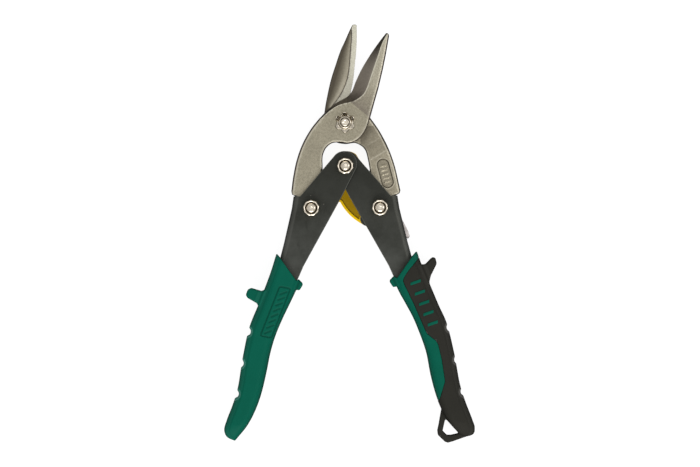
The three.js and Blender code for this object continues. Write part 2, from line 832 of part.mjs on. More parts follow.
// ---- assembly ----
const lever = makeLever();
const rightGrip = makeRightGrip();
const snips = new THREE.Group();
snips.position.z = shearHeight;

snips.add(
  named("front_blade", makeFrontBlade(), bladeSteel),
  named("rear_blade", makeRearBlade(), bladeSteel),
  named("main_pivot_bolt", makeMainBolt(), nickel),
  named("main_pivot_rear_washer", turnedRing([0, 0], 4, 7.6, -7, -5.8), nickel),
  named("main_pivot_star_washer", makeStarWasher(), nickel),
  named("main_pivot_nut", makeMainNut(), nickel),
  named("left_lever", lever, blackSteel),
  named("right_lever", makeRightLever(lever), blackSteel),
  named("left_grip", makeLeftGrip(), greenPlastic),
  named("right_grip_core", rightGrip.core, greenPlastic),
  named("right_grip_cover", rightGrip.cover, blackRubber),
  named("left_pivot_bolt", makeLeftBolt(), nickel),
  named("right_pivot_bolt", makeRightBolt(), nickel),
  named("handle_pivot_bolt", makeHandleBolt(), nickel),
  named("spring_sleeve", turnedRing(handleAxis, boltRadius + gap, 4.3, -3.6, 3.6), greySteel),
  named("return_spring", makeSpring(), springSteel),
  named("latch_lever", makeLatchLever(), yellowPlastic),
  named("latch_thumb_plate", makeThumbPlate(), greySteel),
  named("latch_washer", turnedRing(rightAxis, boltRadius + gap, 6.4, -8.25, -7.85), springSteel),
);

const nutSeats = {
  left_pivot: [leftAxis, outerFace],
  right_pivot: [rightAxis, innerFace],
  handle_pivot: [handleAxis, outerFace],
};
for (const [name, [axis, seat]] of Object.entries(nutSeats)) {
  snips.add(named(`${name}_washer`, makeToothedWasher(axis, seat), nickel));
  snips.add(named(`${name}_nut`, makeLockNut(axis, seat), nickel));
}

rivets.forEach((at, i) => snips.add(named(`latch_rivet_${i + 1}`, makeRivet(at), nickel)));

const part = new THREE.Group();
part.add(snips);

export default part;
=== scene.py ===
"""Looks for a pair of compound-action snips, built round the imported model."""

import math

import bmesh
import bpy
import numpy as np
from mathutils import Matrix, Vector
from mathutils.geometry import delaunay_2d_cdt


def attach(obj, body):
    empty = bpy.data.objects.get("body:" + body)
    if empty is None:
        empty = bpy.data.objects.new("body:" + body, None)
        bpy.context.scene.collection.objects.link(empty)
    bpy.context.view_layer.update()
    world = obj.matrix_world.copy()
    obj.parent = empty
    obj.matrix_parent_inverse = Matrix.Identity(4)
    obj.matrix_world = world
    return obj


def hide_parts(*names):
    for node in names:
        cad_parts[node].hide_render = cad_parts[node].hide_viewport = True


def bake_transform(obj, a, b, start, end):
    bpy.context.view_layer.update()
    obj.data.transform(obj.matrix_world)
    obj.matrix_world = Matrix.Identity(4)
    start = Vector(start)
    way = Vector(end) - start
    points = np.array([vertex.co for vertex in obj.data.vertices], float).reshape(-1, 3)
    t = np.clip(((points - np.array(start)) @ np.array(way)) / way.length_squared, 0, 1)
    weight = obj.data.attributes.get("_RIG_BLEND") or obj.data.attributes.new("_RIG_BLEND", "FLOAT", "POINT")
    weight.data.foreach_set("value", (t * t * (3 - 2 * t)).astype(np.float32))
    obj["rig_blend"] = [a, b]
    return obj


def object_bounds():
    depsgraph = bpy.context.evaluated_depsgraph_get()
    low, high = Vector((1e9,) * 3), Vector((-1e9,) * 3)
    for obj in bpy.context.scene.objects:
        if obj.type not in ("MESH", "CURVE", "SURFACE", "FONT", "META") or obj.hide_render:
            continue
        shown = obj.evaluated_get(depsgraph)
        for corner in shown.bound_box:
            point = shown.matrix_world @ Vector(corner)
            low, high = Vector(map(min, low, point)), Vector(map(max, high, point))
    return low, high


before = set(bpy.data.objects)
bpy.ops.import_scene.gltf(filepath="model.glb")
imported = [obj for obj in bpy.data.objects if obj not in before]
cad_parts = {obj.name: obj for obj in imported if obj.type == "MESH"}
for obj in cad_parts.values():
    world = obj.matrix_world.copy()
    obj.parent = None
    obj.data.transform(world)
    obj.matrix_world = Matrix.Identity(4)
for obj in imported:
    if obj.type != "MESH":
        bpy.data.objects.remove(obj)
cad_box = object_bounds()

# ---- sizes shared with the CAD model: millimetres, heights measured from the shearing plane ----
SHEAR = 12.1
BLADE_FRONT = 5.6
TAIL = 3.6
RIGHT = (20.05, -49.8)
LEFT = (-20.05, -49.8)
HANDLES = (0.0, -25.4)
LEVER_SHIFT = 1.0
SHEET = 1.8
OUTER_FACE = 7.7
INNER_FACE = 5.7
TAIL_RADIUS = 7.6
PIVOT_HOLE = 3.3

# ---- meshing, in millimetres ----
SAME_PLACE = 0.001
GRIP_VOXEL = 0.34
DEEPEST_EASING = 2.2


# ---- curves, meshes and objects ----
def arc(centre, radius, start, end, steps):
    """Points on a circle between two angles in degrees."""
    angles = np.radians(np.linspace(start, end, steps + 1))
    return [(centre[0] + radius * math.cos(a), centre[1] + radius * math.sin(a)) for a in angles]


def smooth(points, steps):
    """Centripetal Catmull-Rom curve through the points."""
    pts = [np.array(p, float) for p in points]
    pts = [2 * pts[0] - pts[1], *pts, 2 * pts[-1] - pts[-2]]
    spans = len(points) - 1
    out = []
    for k in range(steps + 1):
        t = spans * k / steps
        i = min(int(t), spans - 1)
        w = t - i
        p0, p1, p2, p3 = pts[i:i + 4]
        d0, d1, d2 = (max(np.linalg.norm(b - a), 1e-4) ** 0.5 for a, b in ((p0, p1), (p1, p2), (p2, p3)))
        t1 = ((p1 - p0) / d0 - (p2 - p0) / (d0 + d1) + (p2 - p1) / d1) * d1
        t2 = ((p2 - p1) / d1 - (p3 - p1) / (d1 + d2) + (p3 - p2) / d2) * d1
        c2 = -3 * p1 + 3 * p2 - 2 * t1 - t2
        c3 = 2 * p1 - 2 * p2 + t1 + t2
        out.append(tuple(p1 + t1 * w + c2 * w * w + c3 * w ** 3))
    return out


def polyline(points, spacing):
    """Straight-sided line through the points, cut into short steps."""
    out = [points[0]]
    for a, b in zip(points, points[1:]):
        n = max(1, int(math.dist(a, b) / spacing))
        out += [(a[0] + (b[0] - a[0]) * k / n, a[1] + (b[1] - a[1]) * k / n) for k in range(1, n + 1)]
    return out


def clamp01(v):
    return np.clip(v, 0.0, 1.0)


def ease(v):
    """0 up to 0, 1 from 1 on, and a smooth step between."""
    v = clamp01(v)
    return v * v * (3 - 2 * v)


def bell(v, centre, width):
    """1 at the centre, falling off to both sides."""
    return np.exp(-((v - centre) / width) ** 2)


def inside(points, loop):
    """Which points lie inside a closed loop."""
    p = np.asarray(points, float)
    loop = np.asarray(loop, float)
    x, y = p[:, 0], p[:, 1]
    hit = np.zeros(len(p), bool)
    for (x0, y0), (x1, y1) in zip(loop, np.roll(loop, -1, axis=0)):
        if y0 == y1:
            continue
        crosses = (y0 > y) != (y1 > y)
        hit ^= crosses & (x < (x1 - x0) * (y - y0) / (y1 - y0) + x0)
    return hit


def distance(points, line, closed=True):
    """Distance of each point from a line of short pieces."""
    p = np.asarray(points, float)
    a = np.asarray(line, float)
    b = np.roll(a, -1, axis=0) if closed else a[1:]
    a = a if closed else a[:-1]
    best = np.full(len(p), 1e9)
    for s, e in zip(a, b):
        d = e - s
        t = clamp01(((p - s) @ d) / max(d @ d, 1e-12))
        best = np.minimum(best, np.hypot(*(p - s - t[:, None] * d).T))
    return best


def linked(name, data):
    """New object in the scene."""
    obj = bpy.data.objects.new(name, data)
    bpy.context.scene.collection.objects.link(obj)
    return obj


def mesh_object(name, bm, material, sharp=0):
    """Mesh object from a bmesh in millimetres, shaded smooth up to the sharp angle."""
    bmesh.ops.remove_doubles(bm, verts=bm.verts, dist=SAME_PLACE)
    bmesh.ops.delete(bm, geom=[e for e in bm.edges if not e.link_faces], context="EDGES")
    bmesh.ops.recalc_face_normals(bm, faces=bm.faces)
    mesh = bpy.data.meshes.new(name)
    bm.to_mesh(mesh)
    bm.free()
    mesh.transform(Matrix.Translation((0, 0, SHEAR / 1000)) @ Matrix.Scale(0.001, 4))
    for polygon in mesh.polygons:
        polygon.use_smooth = True
    if sharp:
        mesh.set_sharp_from_angle(angle=math.radians(sharp))
    mesh.materials.append(material)
    return linked(name, mesh)


def piece(name, bm, body, material, node, sharp=40):
    """Finished piece that rides on a body; it replaces a CAD node, unless there is none."""
    obj = mesh_object(name, bm, material, sharp)
    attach(obj, body)
    if node:
        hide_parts(node)
    return obj


def plated(name, bm, body, node, sharp=45):
    return piece(name, bm, body, PLATED, node, sharp)


def add_face(bm, corners):
    """Face over different corners, unless it is there already."""
    if len(set(corners)) == len(corners):
        try:
            bm.faces.new(corners)
        except ValueError:
            pass


def solid_from(vertices, faces):
    bm = bmesh.new()
    vs = [bm.verts.new(v) for v in vertices]
    for f in faces:
        add_face(bm, [vs[i] for i in f])
    bmesh.ops.recalc_face_normals(bm, faces=bm.faces)
    return bm


def loft(sections, caps=True):
    """Skin over closed sections with the same number of points."""
    n = len(sections[0])
    faces = []
    for first in range(0, (len(sections) - 1) * n, n):
        for i in range(n):
            j = (i + 1) % n
            faces.append((first + i, first + j, first + n + j, first + n + i))
    if caps:
        faces += [range(n)[::-1], range((len(sections) - 1) * n, len(sections) * n)]
    return solid_from([p for s in sections for p in s], faces)


def prism(outline, low, high):
    """Straight block of an outline between two heights."""
    n = len(outline)
    faces = [range(n)[::-1], range(n, 2 * n)]
    faces += [(i, (i + 1) % n, n + (i + 1) % n, n + i) for i in range(n)]
    return solid_from([(x, y, z) for z in (low, high) for x, y in outline], faces)


def turned(centre, profile, sides=56, ripple=None):
    """Turned solid about an upright axis; the profile runs [radius, height]."""
    rows = []
    for r, z in profile:
        ring = []
        for k in range(sides):
            a = 2 * math.pi * k / sides
            rr = r * (ripple(a, r) if ripple else 1)
            ring.append((centre[0] + rr * math.cos(a), centre[1] + rr * math.sin(a), z))
        rows.append(ring)
    bm = loft(rows, caps=False)
    bmesh.ops.remove_doubles(bm, verts=bm.verts, dist=1e-4)
    bmesh.ops.holes_fill(bm, edges=bm.edges, sides=sides)
    bmesh.ops.recalc_face_normals(bm, faces=bm.faces)
    return bm


def turned_ring(centre, profile, radius, sides=72, ripple=None):
    """Turned ring: a closed profile with rounded corners."""
    profile = rounded(profile, radius)
    return turned(centre, profile + profile[:1], sides, ripple)


def rounded(profile, radius, steps=3):
    """Rounds the corners of a lathe profile; the first and last points stay."""
    out = [profile[0]]
    for a, b, c in zip(profile, profile[1:], profile[2:]):
        a, b, c = (np.array(p, float) for p in (a, b, c))
        before, after = np.linalg.norm(a - b), np.linalg.norm(c - b)
        r = min(radius, 0.45 * before, 0.45 * after)
        start, end = b + (a - b) / before * r, b + (c - b) / after * r
        for t in np.linspace(0, 1, steps + 1):
            out.append(tuple((1 - t) ** 2 * start + 2 * t * (1 - t) * b + t * t * end))
    return out + [profile[-1]]


def scratch(bm):
    """Temporary object for boolean work."""
    mesh = bpy.data.meshes.new("work")
    bm.to_mesh(mesh)
    bm.free()
    return linked("work", mesh)


def combined(first, *steps):
    """Boolean steps on a bmesh: each step is (operation, bmesh). Gives back a bmesh."""
    base = scratch(first)
    tools = []
    for operation, bm in steps:
        tools.append(scratch(bm))
        m = base.modifiers.new("b", "BOOLEAN")
        m.operation, m.solver, m.object = operation, "EXACT", tools[-1]
    return evaluated(base, tools)


def evaluated(base, others=()):
    """The object's mesh after its modifiers, as a bmesh; the objects are removed."""
    graph = bpy.context.evaluated_depsgraph_get()
    graph.update()
    mesh = bpy.data.meshes.new_from_object(base.evaluated_get(graph))
    bm = bmesh.new()
    bm.from_mesh(mesh)
    bpy.data.meshes.remove(mesh)
    for o in (base, *others):
        data = o.data
        bpy.data.objects.remove(o)
        bpy.data.meshes.remove(data)
    return bm


def remeshed(bm, passes):
    """Moulded look: an even mesh of the same body, with its corners eased."""
    obj = scratch(bm)
    even = obj.modifiers.new("r", "REMESH")
    even.mode, even.voxel_size, even.use_smooth_shade = "VOXEL", GRIP_VOXEL, True
    eased = obj.modifiers.new("s", "SMOOTH")
    eased.factor, eased.iterations = 0.5, passes
    return evaluated(obj)


def softened(bm, width, segments=2, angle=30, clamp=True):
    """Bevels the edges sharper than the angle."""
    edges = [e for e in bm.edges if len(e.link_faces) == 2 and e.calc_face_angle(0) > math.radians(angle)]
    bmesh.ops.bevel(bm, geom=edges, offset=width, segments=segments, profile=0.5, affect="EDGES",
                    clamp_overlap=clamp)
    return bm


def from_node(node):
    """Copy of a CAD node as a clean bmesh in millimetres, flat faces joined."""
    bm = bmesh.new()
    bm.from_mesh(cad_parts[node].data)
    bmesh.ops.transform(bm, verts=bm.verts,
                        matrix=Matrix.Translation((0, 0, -SHEAR)) @ Matrix.Scale(1000, 4))
    bmesh.ops.remove_doubles(bm, verts=bm.verts, dist=0.002)
    bmesh.ops.dissolve_limit(bm, angle_limit=math.radians(1.5), verts=bm.verts, edges=bm.edges)
    return bm


# ---- materials ----
class Nodes:
    """Short way to write a node tree. An input is either wired or given a plain value."""

    def __init__(self, name):
        self.material = bpy.data.materials.new(name)
        self.material.use_nodes = True
        self.tree = self.material.node_tree
        self.shader = self.tree.nodes["Principled BSDF"]
        self.place = self.add("TexCoord", {}).outputs["Object"]

    def add(self, kind, inputs, **settings):
        node = self.tree.nodes.new("ShaderNode" + kind)
        for key, value in settings.items():
            setattr(node, key, value)
        self.feed(node, inputs)
        return node

    def feed(self, node, inputs):
        for key, value in inputs.items():
            socket = node.inputs[key]
            if isinstance(value, bpy.types.NodeSocket):
                self.tree.links.new(value, socket)
            elif socket.type == "RGBA":
                socket.default_value = (*value, 1.0)
            else:
                socket.default_value = value

    def stretched(self, scale, turn):
        inputs = {"Scale": scale, "Rotation": (0, 0, math.radians(turn)), "Vector": self.place}
        return self.add("Mapping", inputs).outputs["Vector"]

    def noise(self, scale, detail, roughness=0.5, where=None):
        inputs = {"Scale": scale, "Detail": detail, "Roughness": roughness, "Vector": where or self.place}
        return self.add("TexNoise", inputs).outputs["Fac"]

    def spread(self, source, low, high, to_low=0.0, to_high=1.0):
        inputs = {"From Min": low, "From Max": high, "To Min": to_low, "To Max": to_high, "Value": source}
        return self.add("MapRange", inputs).outputs["Result"]

    def math(self, operation, a, b):
        return self.add("Math", {0: a, 1: b}, operation=operation).outputs[0]

    def mix(self, factor, a, b):
        return self.add("Mix", {"Factor": factor, "A": a, "B": b}, data_type="RGBA").outputs["Result"]

    def over(self, tone, colour, source, low, high, amount=1.0):
        """A colour laid over a tone where a pattern rises from low to high."""
        return self.mix(self.spread(source, low, high, 0.0, amount), tone, colour)

    def mask(self, name):
        return self.add("Attribute", {}, attribute_name=name).outputs["Fac"]

    def bump(self, *layers):
        """Layers of (height, strength, distance)."""
        below = {}
        for height, strength, reach in layers:
            inputs = {"Strength": strength, "Distance": reach, "Height": height, **below}
            below = {"Normal": self.add("Bump", inputs).outputs["Normal"]}
        self.feed(self.shader, below)

    def set(self, **inputs):
        """Inputs of the shader, with underscores in the names."""
        self.feed(self.shader, {key.replace("_", " "): value for key, value in inputs.items()})


def darker(colour, factor):
    return tuple(factor * v for v in colour)


# Painted shade colour: the shade layer mixes it into the blade steel and the land.
SHADE_GREY = (0.125, 0.100, 0.092)


def blade_material(name, turn, base, dark, light, painted_shade):
    """Tumbled tool steel: fine grain and faint grinding lines, with painted highlights along edges and
    ridges and painted shade from the shade layer.
    """
    n = Nodes(name)
    n.set(Metallic=1.0)
    grain = n.noise(2600, 2, 0.6)
    cloud = n.noise(130, 4, 0.6)
    lines = n.noise(900, 3, 0.6, n.stretched((1, 0.06, 1), turn))
    tone = n.over(dark, base, cloud, 0.3, 0.7)
    tone = n.over(tone, light, grain, 0.35, 0.65, 0.30)
    tone = n.over(tone, darker(dark, 0.55), n.noise(800, 3, 0.7), 0.42, 0.62, 0.30)
    # Painted highlight: the highlight layer lifts the tone towards the light colour.
    tone = n.mix(n.math("MULTIPLY", n.mask("wear"), 0.9), tone, light)
    # Painted shade: the shade layer mixes in the painted shade colour.
    n.set(Base_Color=n.mix(n.mask("shade"), tone, painted_shade))
    rough = n.spread(cloud, 0.3, 0.7, 0.36, 0.5)
    rough = n.math("ADD", rough, n.spread(grain, 0.3, 0.7, -0.04, 0.05))
    n.set(Roughness=n.math("SUBTRACT", rough, n.math("MULTIPLY", n.mask("wear"), 0.12)))
    n.bump((grain, 0.22, 0.00012), (lines, 0.12, 0.0001))
    return n.material


def land_material():
    """Bright land of the rear blade, ground across, with fine serrations."""
    n = Nodes("ground_land")
    n.set(Metallic=1.0)
    cuts = n.add("TexWave", {"Scale": 420, "Distortion": 1.2, "Vector": n.place}, wave_type="BANDS",
                 bands_direction="Y", wave_profile="TRI")
    grain = n.noise(2200, 3, 0.6)
    tone = n.over((0.50, 0.48, 0.38), (0.70, 0.68, 0.57), grain, 0.3, 0.7)
    # Painted shade: the shade layer darkens the land towards its lower end.
    n.set(Base_Color=n.mix(n.mask("shade"), tone, SHADE_GREY))
    n.set(Roughness=n.spread(n.noise(300, 3), 0.3, 0.7, 0.38, 0.5))
    n.bump((cuts.outputs["Fac"], 0.25, 0.0001), (grain, 0.15, 0.0001))
    return n.material


def black_material():
    """Satin black finish on pressed sheet, dulled, with small scuffs; painted shade darkens it towards the
    top and painted highlights lighten its corners and folds.
    """
    n = Nodes("satin_black")
    n.set(Metallic=0.0, Specular_Tint=(1.0, 1.0, 0.86), Specular_IOR_Level=0.22)
    cloud = n.noise(70, 4, 0.6)
    grain = n.noise(1800, 2, 0.5)
    specks = n.noise(620, 1, 0.4)
    scuffs = n.noise(160, 5, 0.7, n.stretched((1, 0.35, 1), 30))
    tone = n.over((0.022, 0.0235, 0.0205), (0.054, 0.056, 0.051), cloud, 0.3, 0.7)
    # Painted shade: darker towards the top of the lever, by the ears.
    split = n.add("SeparateXYZ", {"Vector": n.place})
    tone = n.over(tone, (0.008, 0.0086, 0.0066), split.outputs["Y"], -0.092, -0.03, 0.75)
    tone = n.over(tone, (0.009, 0.010, 0.009), scuffs, 0.60, 0.74, 0.7)
    tone = n.over(tone, (0.16, 0.15, 0.13), specks, 0.80, 0.84, 0.6)
    # Painted highlight: the highlight layer lifts corners and folds to a grey.
    n.set(Base_Color=n.mix(n.math("MULTIPLY", n.mask("wear"), 0.8), tone, (0.16, 0.16, 0.145)))
    rough = n.spread(cloud, 0.3, 0.7, 0.36, 0.46)
    n.set(Roughness=n.math("ADD", rough, n.spread(scuffs, 0.6, 0.75, 0.0, 0.12)))
    n.bump((grain, 0.12, 0.0001), (scuffs, 0.08, 0.0002))
    return n.material


def plated_material(name, base, rough_low, rough_high):
    """Plated or bare steel, clouded, with painted shade where its shade layer is set."""
    n = Nodes(name)
    n.set(Metallic=1.0)
    cloud = n.noise(420, 4, 0.6)
    fine = n.noise(3000, 2, 0.5)
    tone = n.over(darker(base, 0.86), base, cloud, 0.35, 0.65)
    # Painted shade: the shade layer mixes in a dark brown in grooves, pockets and round bolt ends.
    n.set(Base_Color=n.mix(n.mask("shade"), tone, (0.07, 0.058, 0.036)))
    n.set(Roughness=n.spread(cloud, 0.3, 0.7, rough_low, rough_high))
    n.bump((fine, 0.08, 0.0001), (cloud, 0.07, 0.0002))
    return n.material


def plastic_material(name, base, dark, rough_low, rough_high, gloss, pale=None):
    """Moulded plastic or soft cover: fine grain and slight clouding, with painted highlights in the pale
    colour and painted shade from the shade layer.
    """
    n = Nodes(name)
    n.set(Specular_IOR_Level=gloss)
    cloud = n.noise(55, 4, 0.55)
    grain = n.noise(3400, 2, 0.6)
    coarse = n.noise(900, 2, 0.5)
    tone = n.over(dark, base, cloud, 0.3, 0.7)
    tone = n.over(tone, tuple(min(1.0, 1.6 * v + 0.01) for v in base), grain, 0.35, 0.7, 0.12)
    # Painted highlight: the highlight layer mixes in the pale colour.
    if pale:
        tone = n.mix(n.mask("wear"), tone, pale)
    # Painted shade: the shade layer mixes in a darker colour.
    n.set(Base_Color=n.mix(n.mask("shade"), tone, darker(dark, 0.35)))
    rough = n.spread(cloud, 0.3, 0.7, rough_low, rough_high)
    n.set(Roughness=n.math("ADD", rough, n.spread(grain, 0.3, 0.7, -0.03, 0.03)))
    n.bump((coarse, 0.06, 0.0002), (grain, 0.25, 0.0001))
    return n.material


# The last colour of each blade steel is the painted shade colour that its shade layer mixes in.
BLADE = blade_material("blade_steel", 35, (0.305, 0.274, 0.199), (0.255, 0.228, 0.162), (0.74, 0.70, 0.57),
                       SHADE_GREY)
BLADE_REAR = blade_material("blade_steel_rear", -35, (0.308, 0.274, 0.199), (0.258, 0.228, 0.162),
                            (0.72, 0.67, 0.54), (0.100, 0.086, 0.064))
LAND = land_material()
BLACK = black_material()
PLATED = plated_material("warm_plating", (0.86, 0.78, 0.65), 0.16, 0.30)
SPRING = plated_material("spring_steel", (0.14, 0.14, 0.135), 0.28, 0.42)
GREY = plated_material("grey_sheet", (0.50, 0.46, 0.44), 0.30, 0.45)
# The last colour of each grip plastic is the pale colour of its painted highlights.
GREEN = plastic_material("green_plastic", (0.0004, 0.084, 0.053), (0.0003, 0.074, 0.046), 0.44, 0.54, 0.05,
                         (0.050, 0.210, 0.160))
COVER = plastic_material("charcoal_cover", (0.020, 0.0192, 0.015), (0.015, 0.0143, 0.011), 0.60, 0.72, 0.10,
                         (0.085, 0.082, 0.074))
YELLOW = plastic_material("yellow_plastic", (1.0, 0.64, 0.002), (0.94, 0.58, 0.002), 0.36, 0.46, 0.12)
# Darker copy of the yellow plastic: painted shade for the latch's recessed floor.
YELLOW_SHADED = plastic_material("yellow_plastic_shaded", (0.47, 0.285, 0.002), (0.39, 0.235, 0.001), 0.42,
                               0.52, 0.12)


# ---- blades ----
RING = (0.0, 0.04, 0.12, 0.25, 0.42, 0.60, 0.78, 0.95, 1.0)


def inward(loop, widths):
    """Points moved into a counter-clockwise or clockwise loop by the given widths."""
    p = np.asarray(loop, float)
    tangent = np.roll(p, -1, axis=0) - np.roll(p, 1, axis=0)
    tangent /= np.maximum(np.linalg.norm(tangent, axis=1), 1e-9)[:, None]
    area = np.sum(p[:, 0] * np.roll(p[:, 1], -1) - np.roll(p[:, 0], -1) * p[:, 1])
    side = np.array([-tangent[:, 1], tangent[:, 0]]).T * (1 if area > 0 else -1)
    return p + side * np.asarray(widths)[:, None]


# Each stretch also gives the amount of painted highlight and painted shade along its rim.
def stretch(points, width, wear=0.0, shade=0.0, inner=None, edge=0.0):
    """Part of an outline, with the width its corner is eased over or an inner line it slopes up to."""
    eased = inner is None
    return [(p, p if eased else inner[k], width, edge, wear, shade, eased) for k, p in enumerate(points)]


class Rim:
    """Outline of one face of a plate, made of stretches."""

    def __init__(self, *stretches):
        columns = zip(*(row for args in stretches for row in stretch(*args)))
        self.outer, inner, width, self.edge, self.wear, self.shade, self.eased = map(np.array, columns)
        width = sum(np.roll(width, k) for k in range(-2, 3)) / 5
        self.inner = np.where(self.eased[:, None], inward(self.outer, width), inner)
        self.drop = np.minimum(width, DEEPEST_EASING)


def face_points(rim, height, lines, spacing, sign):
    """Points, heights, painted highlight and painted shade of one face of a plate: rim rows, marked lines
    and an even fill.
    """
    outer, inner = rim.outer, rim.inner
    top = height(inner)
    points, heights, wear, shade = [], [], [], []
    for f in RING:
        points.append(outer + (inner - outer) * f)
        heights.append(np.where(rim.eased, top - sign * rim.drop * (1 - math.sqrt(1 - (1 - f) ** 2)),
                                rim.edge + (top - rim.edge) * (f - 0.03 * f ** 6)))
        # Painted highlight: a light line just inside an eased rim; painted shade: a dark band at its outer
        # edge.
        wear.append(rim.wear * np.where(rim.eased, bell(f, 0.86, 0.16), f == 1.0))
        shade.append(rim.shade * np.where(rim.eased, clamp01((0.66 - f) / 0.26), f < 1.0))
    fill = [np.array(line) for line in lines]
    fill = [line[inside(line, inner) & (distance(line, outer) > 0.3)] for line in fill]
    (x0, y0), (x1, y1) = outer.min(0), outer.max(0)
    xs, ys = np.arange(x0, x1, spacing), np.arange(y0, y1, spacing * 0.866)
    grid = np.array([(x + (0.5 * spacing if j % 2 else 0), y) for j, y in enumerate(ys) for x in xs])
    grid = grid[inside(grid, inner)]
    grid = grid[distance(grid, inner) > 0.35 * spacing]
    for line in lines:
        grid = grid[distance(grid, line, closed=False) > 0.35 * spacing]
    fill = np.vstack([*fill, grid])
    plain = np.zeros(len(fill))
    return (np.vstack([*points, fill]), np.concatenate([*heights, height(fill)]),
            np.concatenate([*wear, plain]), np.concatenate([*shade, plain]))


def plate(top_rim, bottom_rim, top, bottom, tint, lines, holes, spacing=0.9):
    """Solid between two faces with eased rims. Gives a bmesh with painted highlight and painted shade
    layers.
    """
    bm = bmesh.new()
    highlit, painted_shade = (bm.verts.layers.float.new(name) for name in ("wear", "shade"))
    walls = []
    for rim, height, marks, sign in ((top_rim, top, lines, 1), (bottom_rim, bottom, (), -1)):
        pts, hs, wear, shade = face_points(rim, height, marks, spacing if sign > 0 else 1.6 * spacing, sign)
        # The tint adds painted highlight and painted shade to the top face.
        if sign > 0:
            wear, shade = (np.maximum(layer, more) for layer, more in zip((wear, shade), tint(pts)))
        n = len(rim.outer)
        clear = np.ones(len(pts), bool)
        for hole in holes:
            clear &= ~inside(pts, hole) & (distance(pts, hole) >= 0.25)
        clear[:n] = True
        pts, hs = pts[clear], hs[clear]
        loops = [(0, n)]
        for hole in holes:
            loops.append((len(pts), len(hole)))
            pts, hs = np.vstack([pts, hole]), np.concatenate([hs, height(np.array(hole))])
        bare = np.zeros(len(pts) - clear.sum())
        wear, shade = (np.concatenate([layer[clear], bare]) for layer in (wear, shade))
        edges = [(first + i, first + (i + 1) % count) for first, count in loops for i in range(count)]
        spots, _, faces, origin, *_ = delaunay_2d_cdt([Vector(p) for p in pts], edges, [], 0, 1e-5)
        made, where = [], {}
        for spot, sources in zip(spots, origin):
            z = hs[sources[0]] if sources else float(height(np.array([spot[:]]))[0])
            v = bm.verts.new((*spot, z))
            if sources:
                v[highlit], v[painted_shade] = wear[sources[0]], shade[sources[0]]
            made.append(v)
            where.update(dict.fromkeys(sources, v))
        centres = np.array([np.mean([spots[i][:] for i in f], axis=0) for f in faces])
        solid = inside(centres, rim.outer)
        for hole in holes:
            solid &= ~inside(centres, hole)
        for f, ok in zip(faces, solid):
            if ok:
                add_face(bm, [made[i] for i in f[::sign]])
        walls.append([[where[first + i] for i in range(count)] for first, count in loops])
    for above, below in zip(*walls):
        for corners in zip(above, above[1:] + above[:1], below[1:] + below[:1], below):
            add_face(bm, corners)
    return bm


FRONT_EDGE = [(24.4, 52.2), (20.4, 47.1), (15.3, 39.9), (10.2, 31.6), (6.4, 23.8), (4.1, 18.2),
              (1.6, 15.3), (-4.9, 11.7), (-10, 7.7), (-14.5, 3.1)]
FRONT_RIDGE = [(24.9, 51.4), (22, 46), (19.7, 39), (16.5, 29.8), (13.4, 20.8), (11.2, 16.6), (6.2, 12.9),
               (-3.8, 10), (-9.1, 6.6), (-13.8, 2.4)]
FRONT_BACK = [(26.2, 50.3), (24.3, 39.8), (22.4, 30.8), (19.7, 19.8), (16.8, 9.9), (14.8, 2.9)]
FRONT_SHOULDER = [(-14.5, 3.1), (-20, -3.8), (-25.1, -12.8), (-28.5, -22.3), (-30.6, -32.3),
                  (-31.6, -39.8)]
FRONT_HEEL = [(-31.6, -39.8), (-31.2, -41.8), (-29.6, -42.6), (-27.6, -43.6)]
FRONT_INSIDE = [(-13.3, -26), (-13.1, -19), (-11, -14.5), (-7.6, -11.9), (-3.1, -11.5), (1.4, -12.1),
                (5.6, -11.1), (9.6, -8.2), (12.4, -3.8), (14.2, 1)]
CREASE = (9.0, 7.3)
CREASE_HEADING = math.radians(50)
CREASE_FALL = math.radians(2.9)


def along(p, start, heading):
    """How far points are from a start, measured along a heading."""
    return (p[:, 0] - start[0]) * math.cos(heading) + (p[:, 1] - start[1]) * math.sin(heading)


def front_height(p):
    beyond = beyond_crease(p)
    soft = 0.5 * (beyond + np.sqrt(beyond ** 2 + 0.05))
    return BLADE_FRONT - soft * math.tan(CREASE_FALL)


def beyond_crease(p):
    """Distance of points beyond the crease between the jaw and the pivot disc."""
    return along(p, CREASE, CREASE_HEADING)


def front_tint(p):
    """Painted highlight and painted shade: painted shade just beyond the crease, painted highlights along
    the ridge and towards the tip.
    """
    beyond = beyond_crease(p)
    from_ridge = distance(p, smooth(FRONT_RIDGE, 60), closed=False)
    ridge_highlight = 0.45 * bell(from_ridge, 0, 1.2) * ease((p[:, 1] - 17) / 10)
    wear = np.maximum(ridge_highlight, 0.22 * ease((beyond - 6) / 14))
    return wear, np.where(beyond > 0, 0.50 * np.exp(-np.maximum(beyond, 0) / 8), 0.0)


RAMP_START = (16.9, -11.1)
RAMP_HEADING = math.radians(-59.5)
RAMP_RISE = math.radians(24.3)
RAMP_LENGTH = (TAIL + 0.1) / math.tan(RAMP_RISE)


def ramp(p):
    """Height of the tail pad: a ramp up from the jaw side to the thick part."""
    z = -0.1 + math.tan(RAMP_RISE) * along(p, RAMP_START, RAMP_HEADING)
    soft_top = 0.5 * (z + TAIL - np.sqrt((z - TAIL) ** 2 + 0.02))
    return 0.5 * (soft_top - 0.1 + np.sqrt((soft_top + 0.1) ** 2 + 0.01))


def across(start, heading, away):
    """Marked line over a plate, square to a heading, some way along it."""
    c, s = math.cos(heading), math.sin(heading)
    x, y = start[0] + away * c, start[1] + away * s
    return [(x - k * 0.5 * s, y + k * 0.5 * c) for k in range(-30, 30)]


def blade_holes(pivot, main):
    """The hole of the main bolt and the hole of a lever's pivot bolt."""
    return [arc((0, 0), main, 0, 350, 35), arc(pivot, 3.4, 0, 348, 29)]


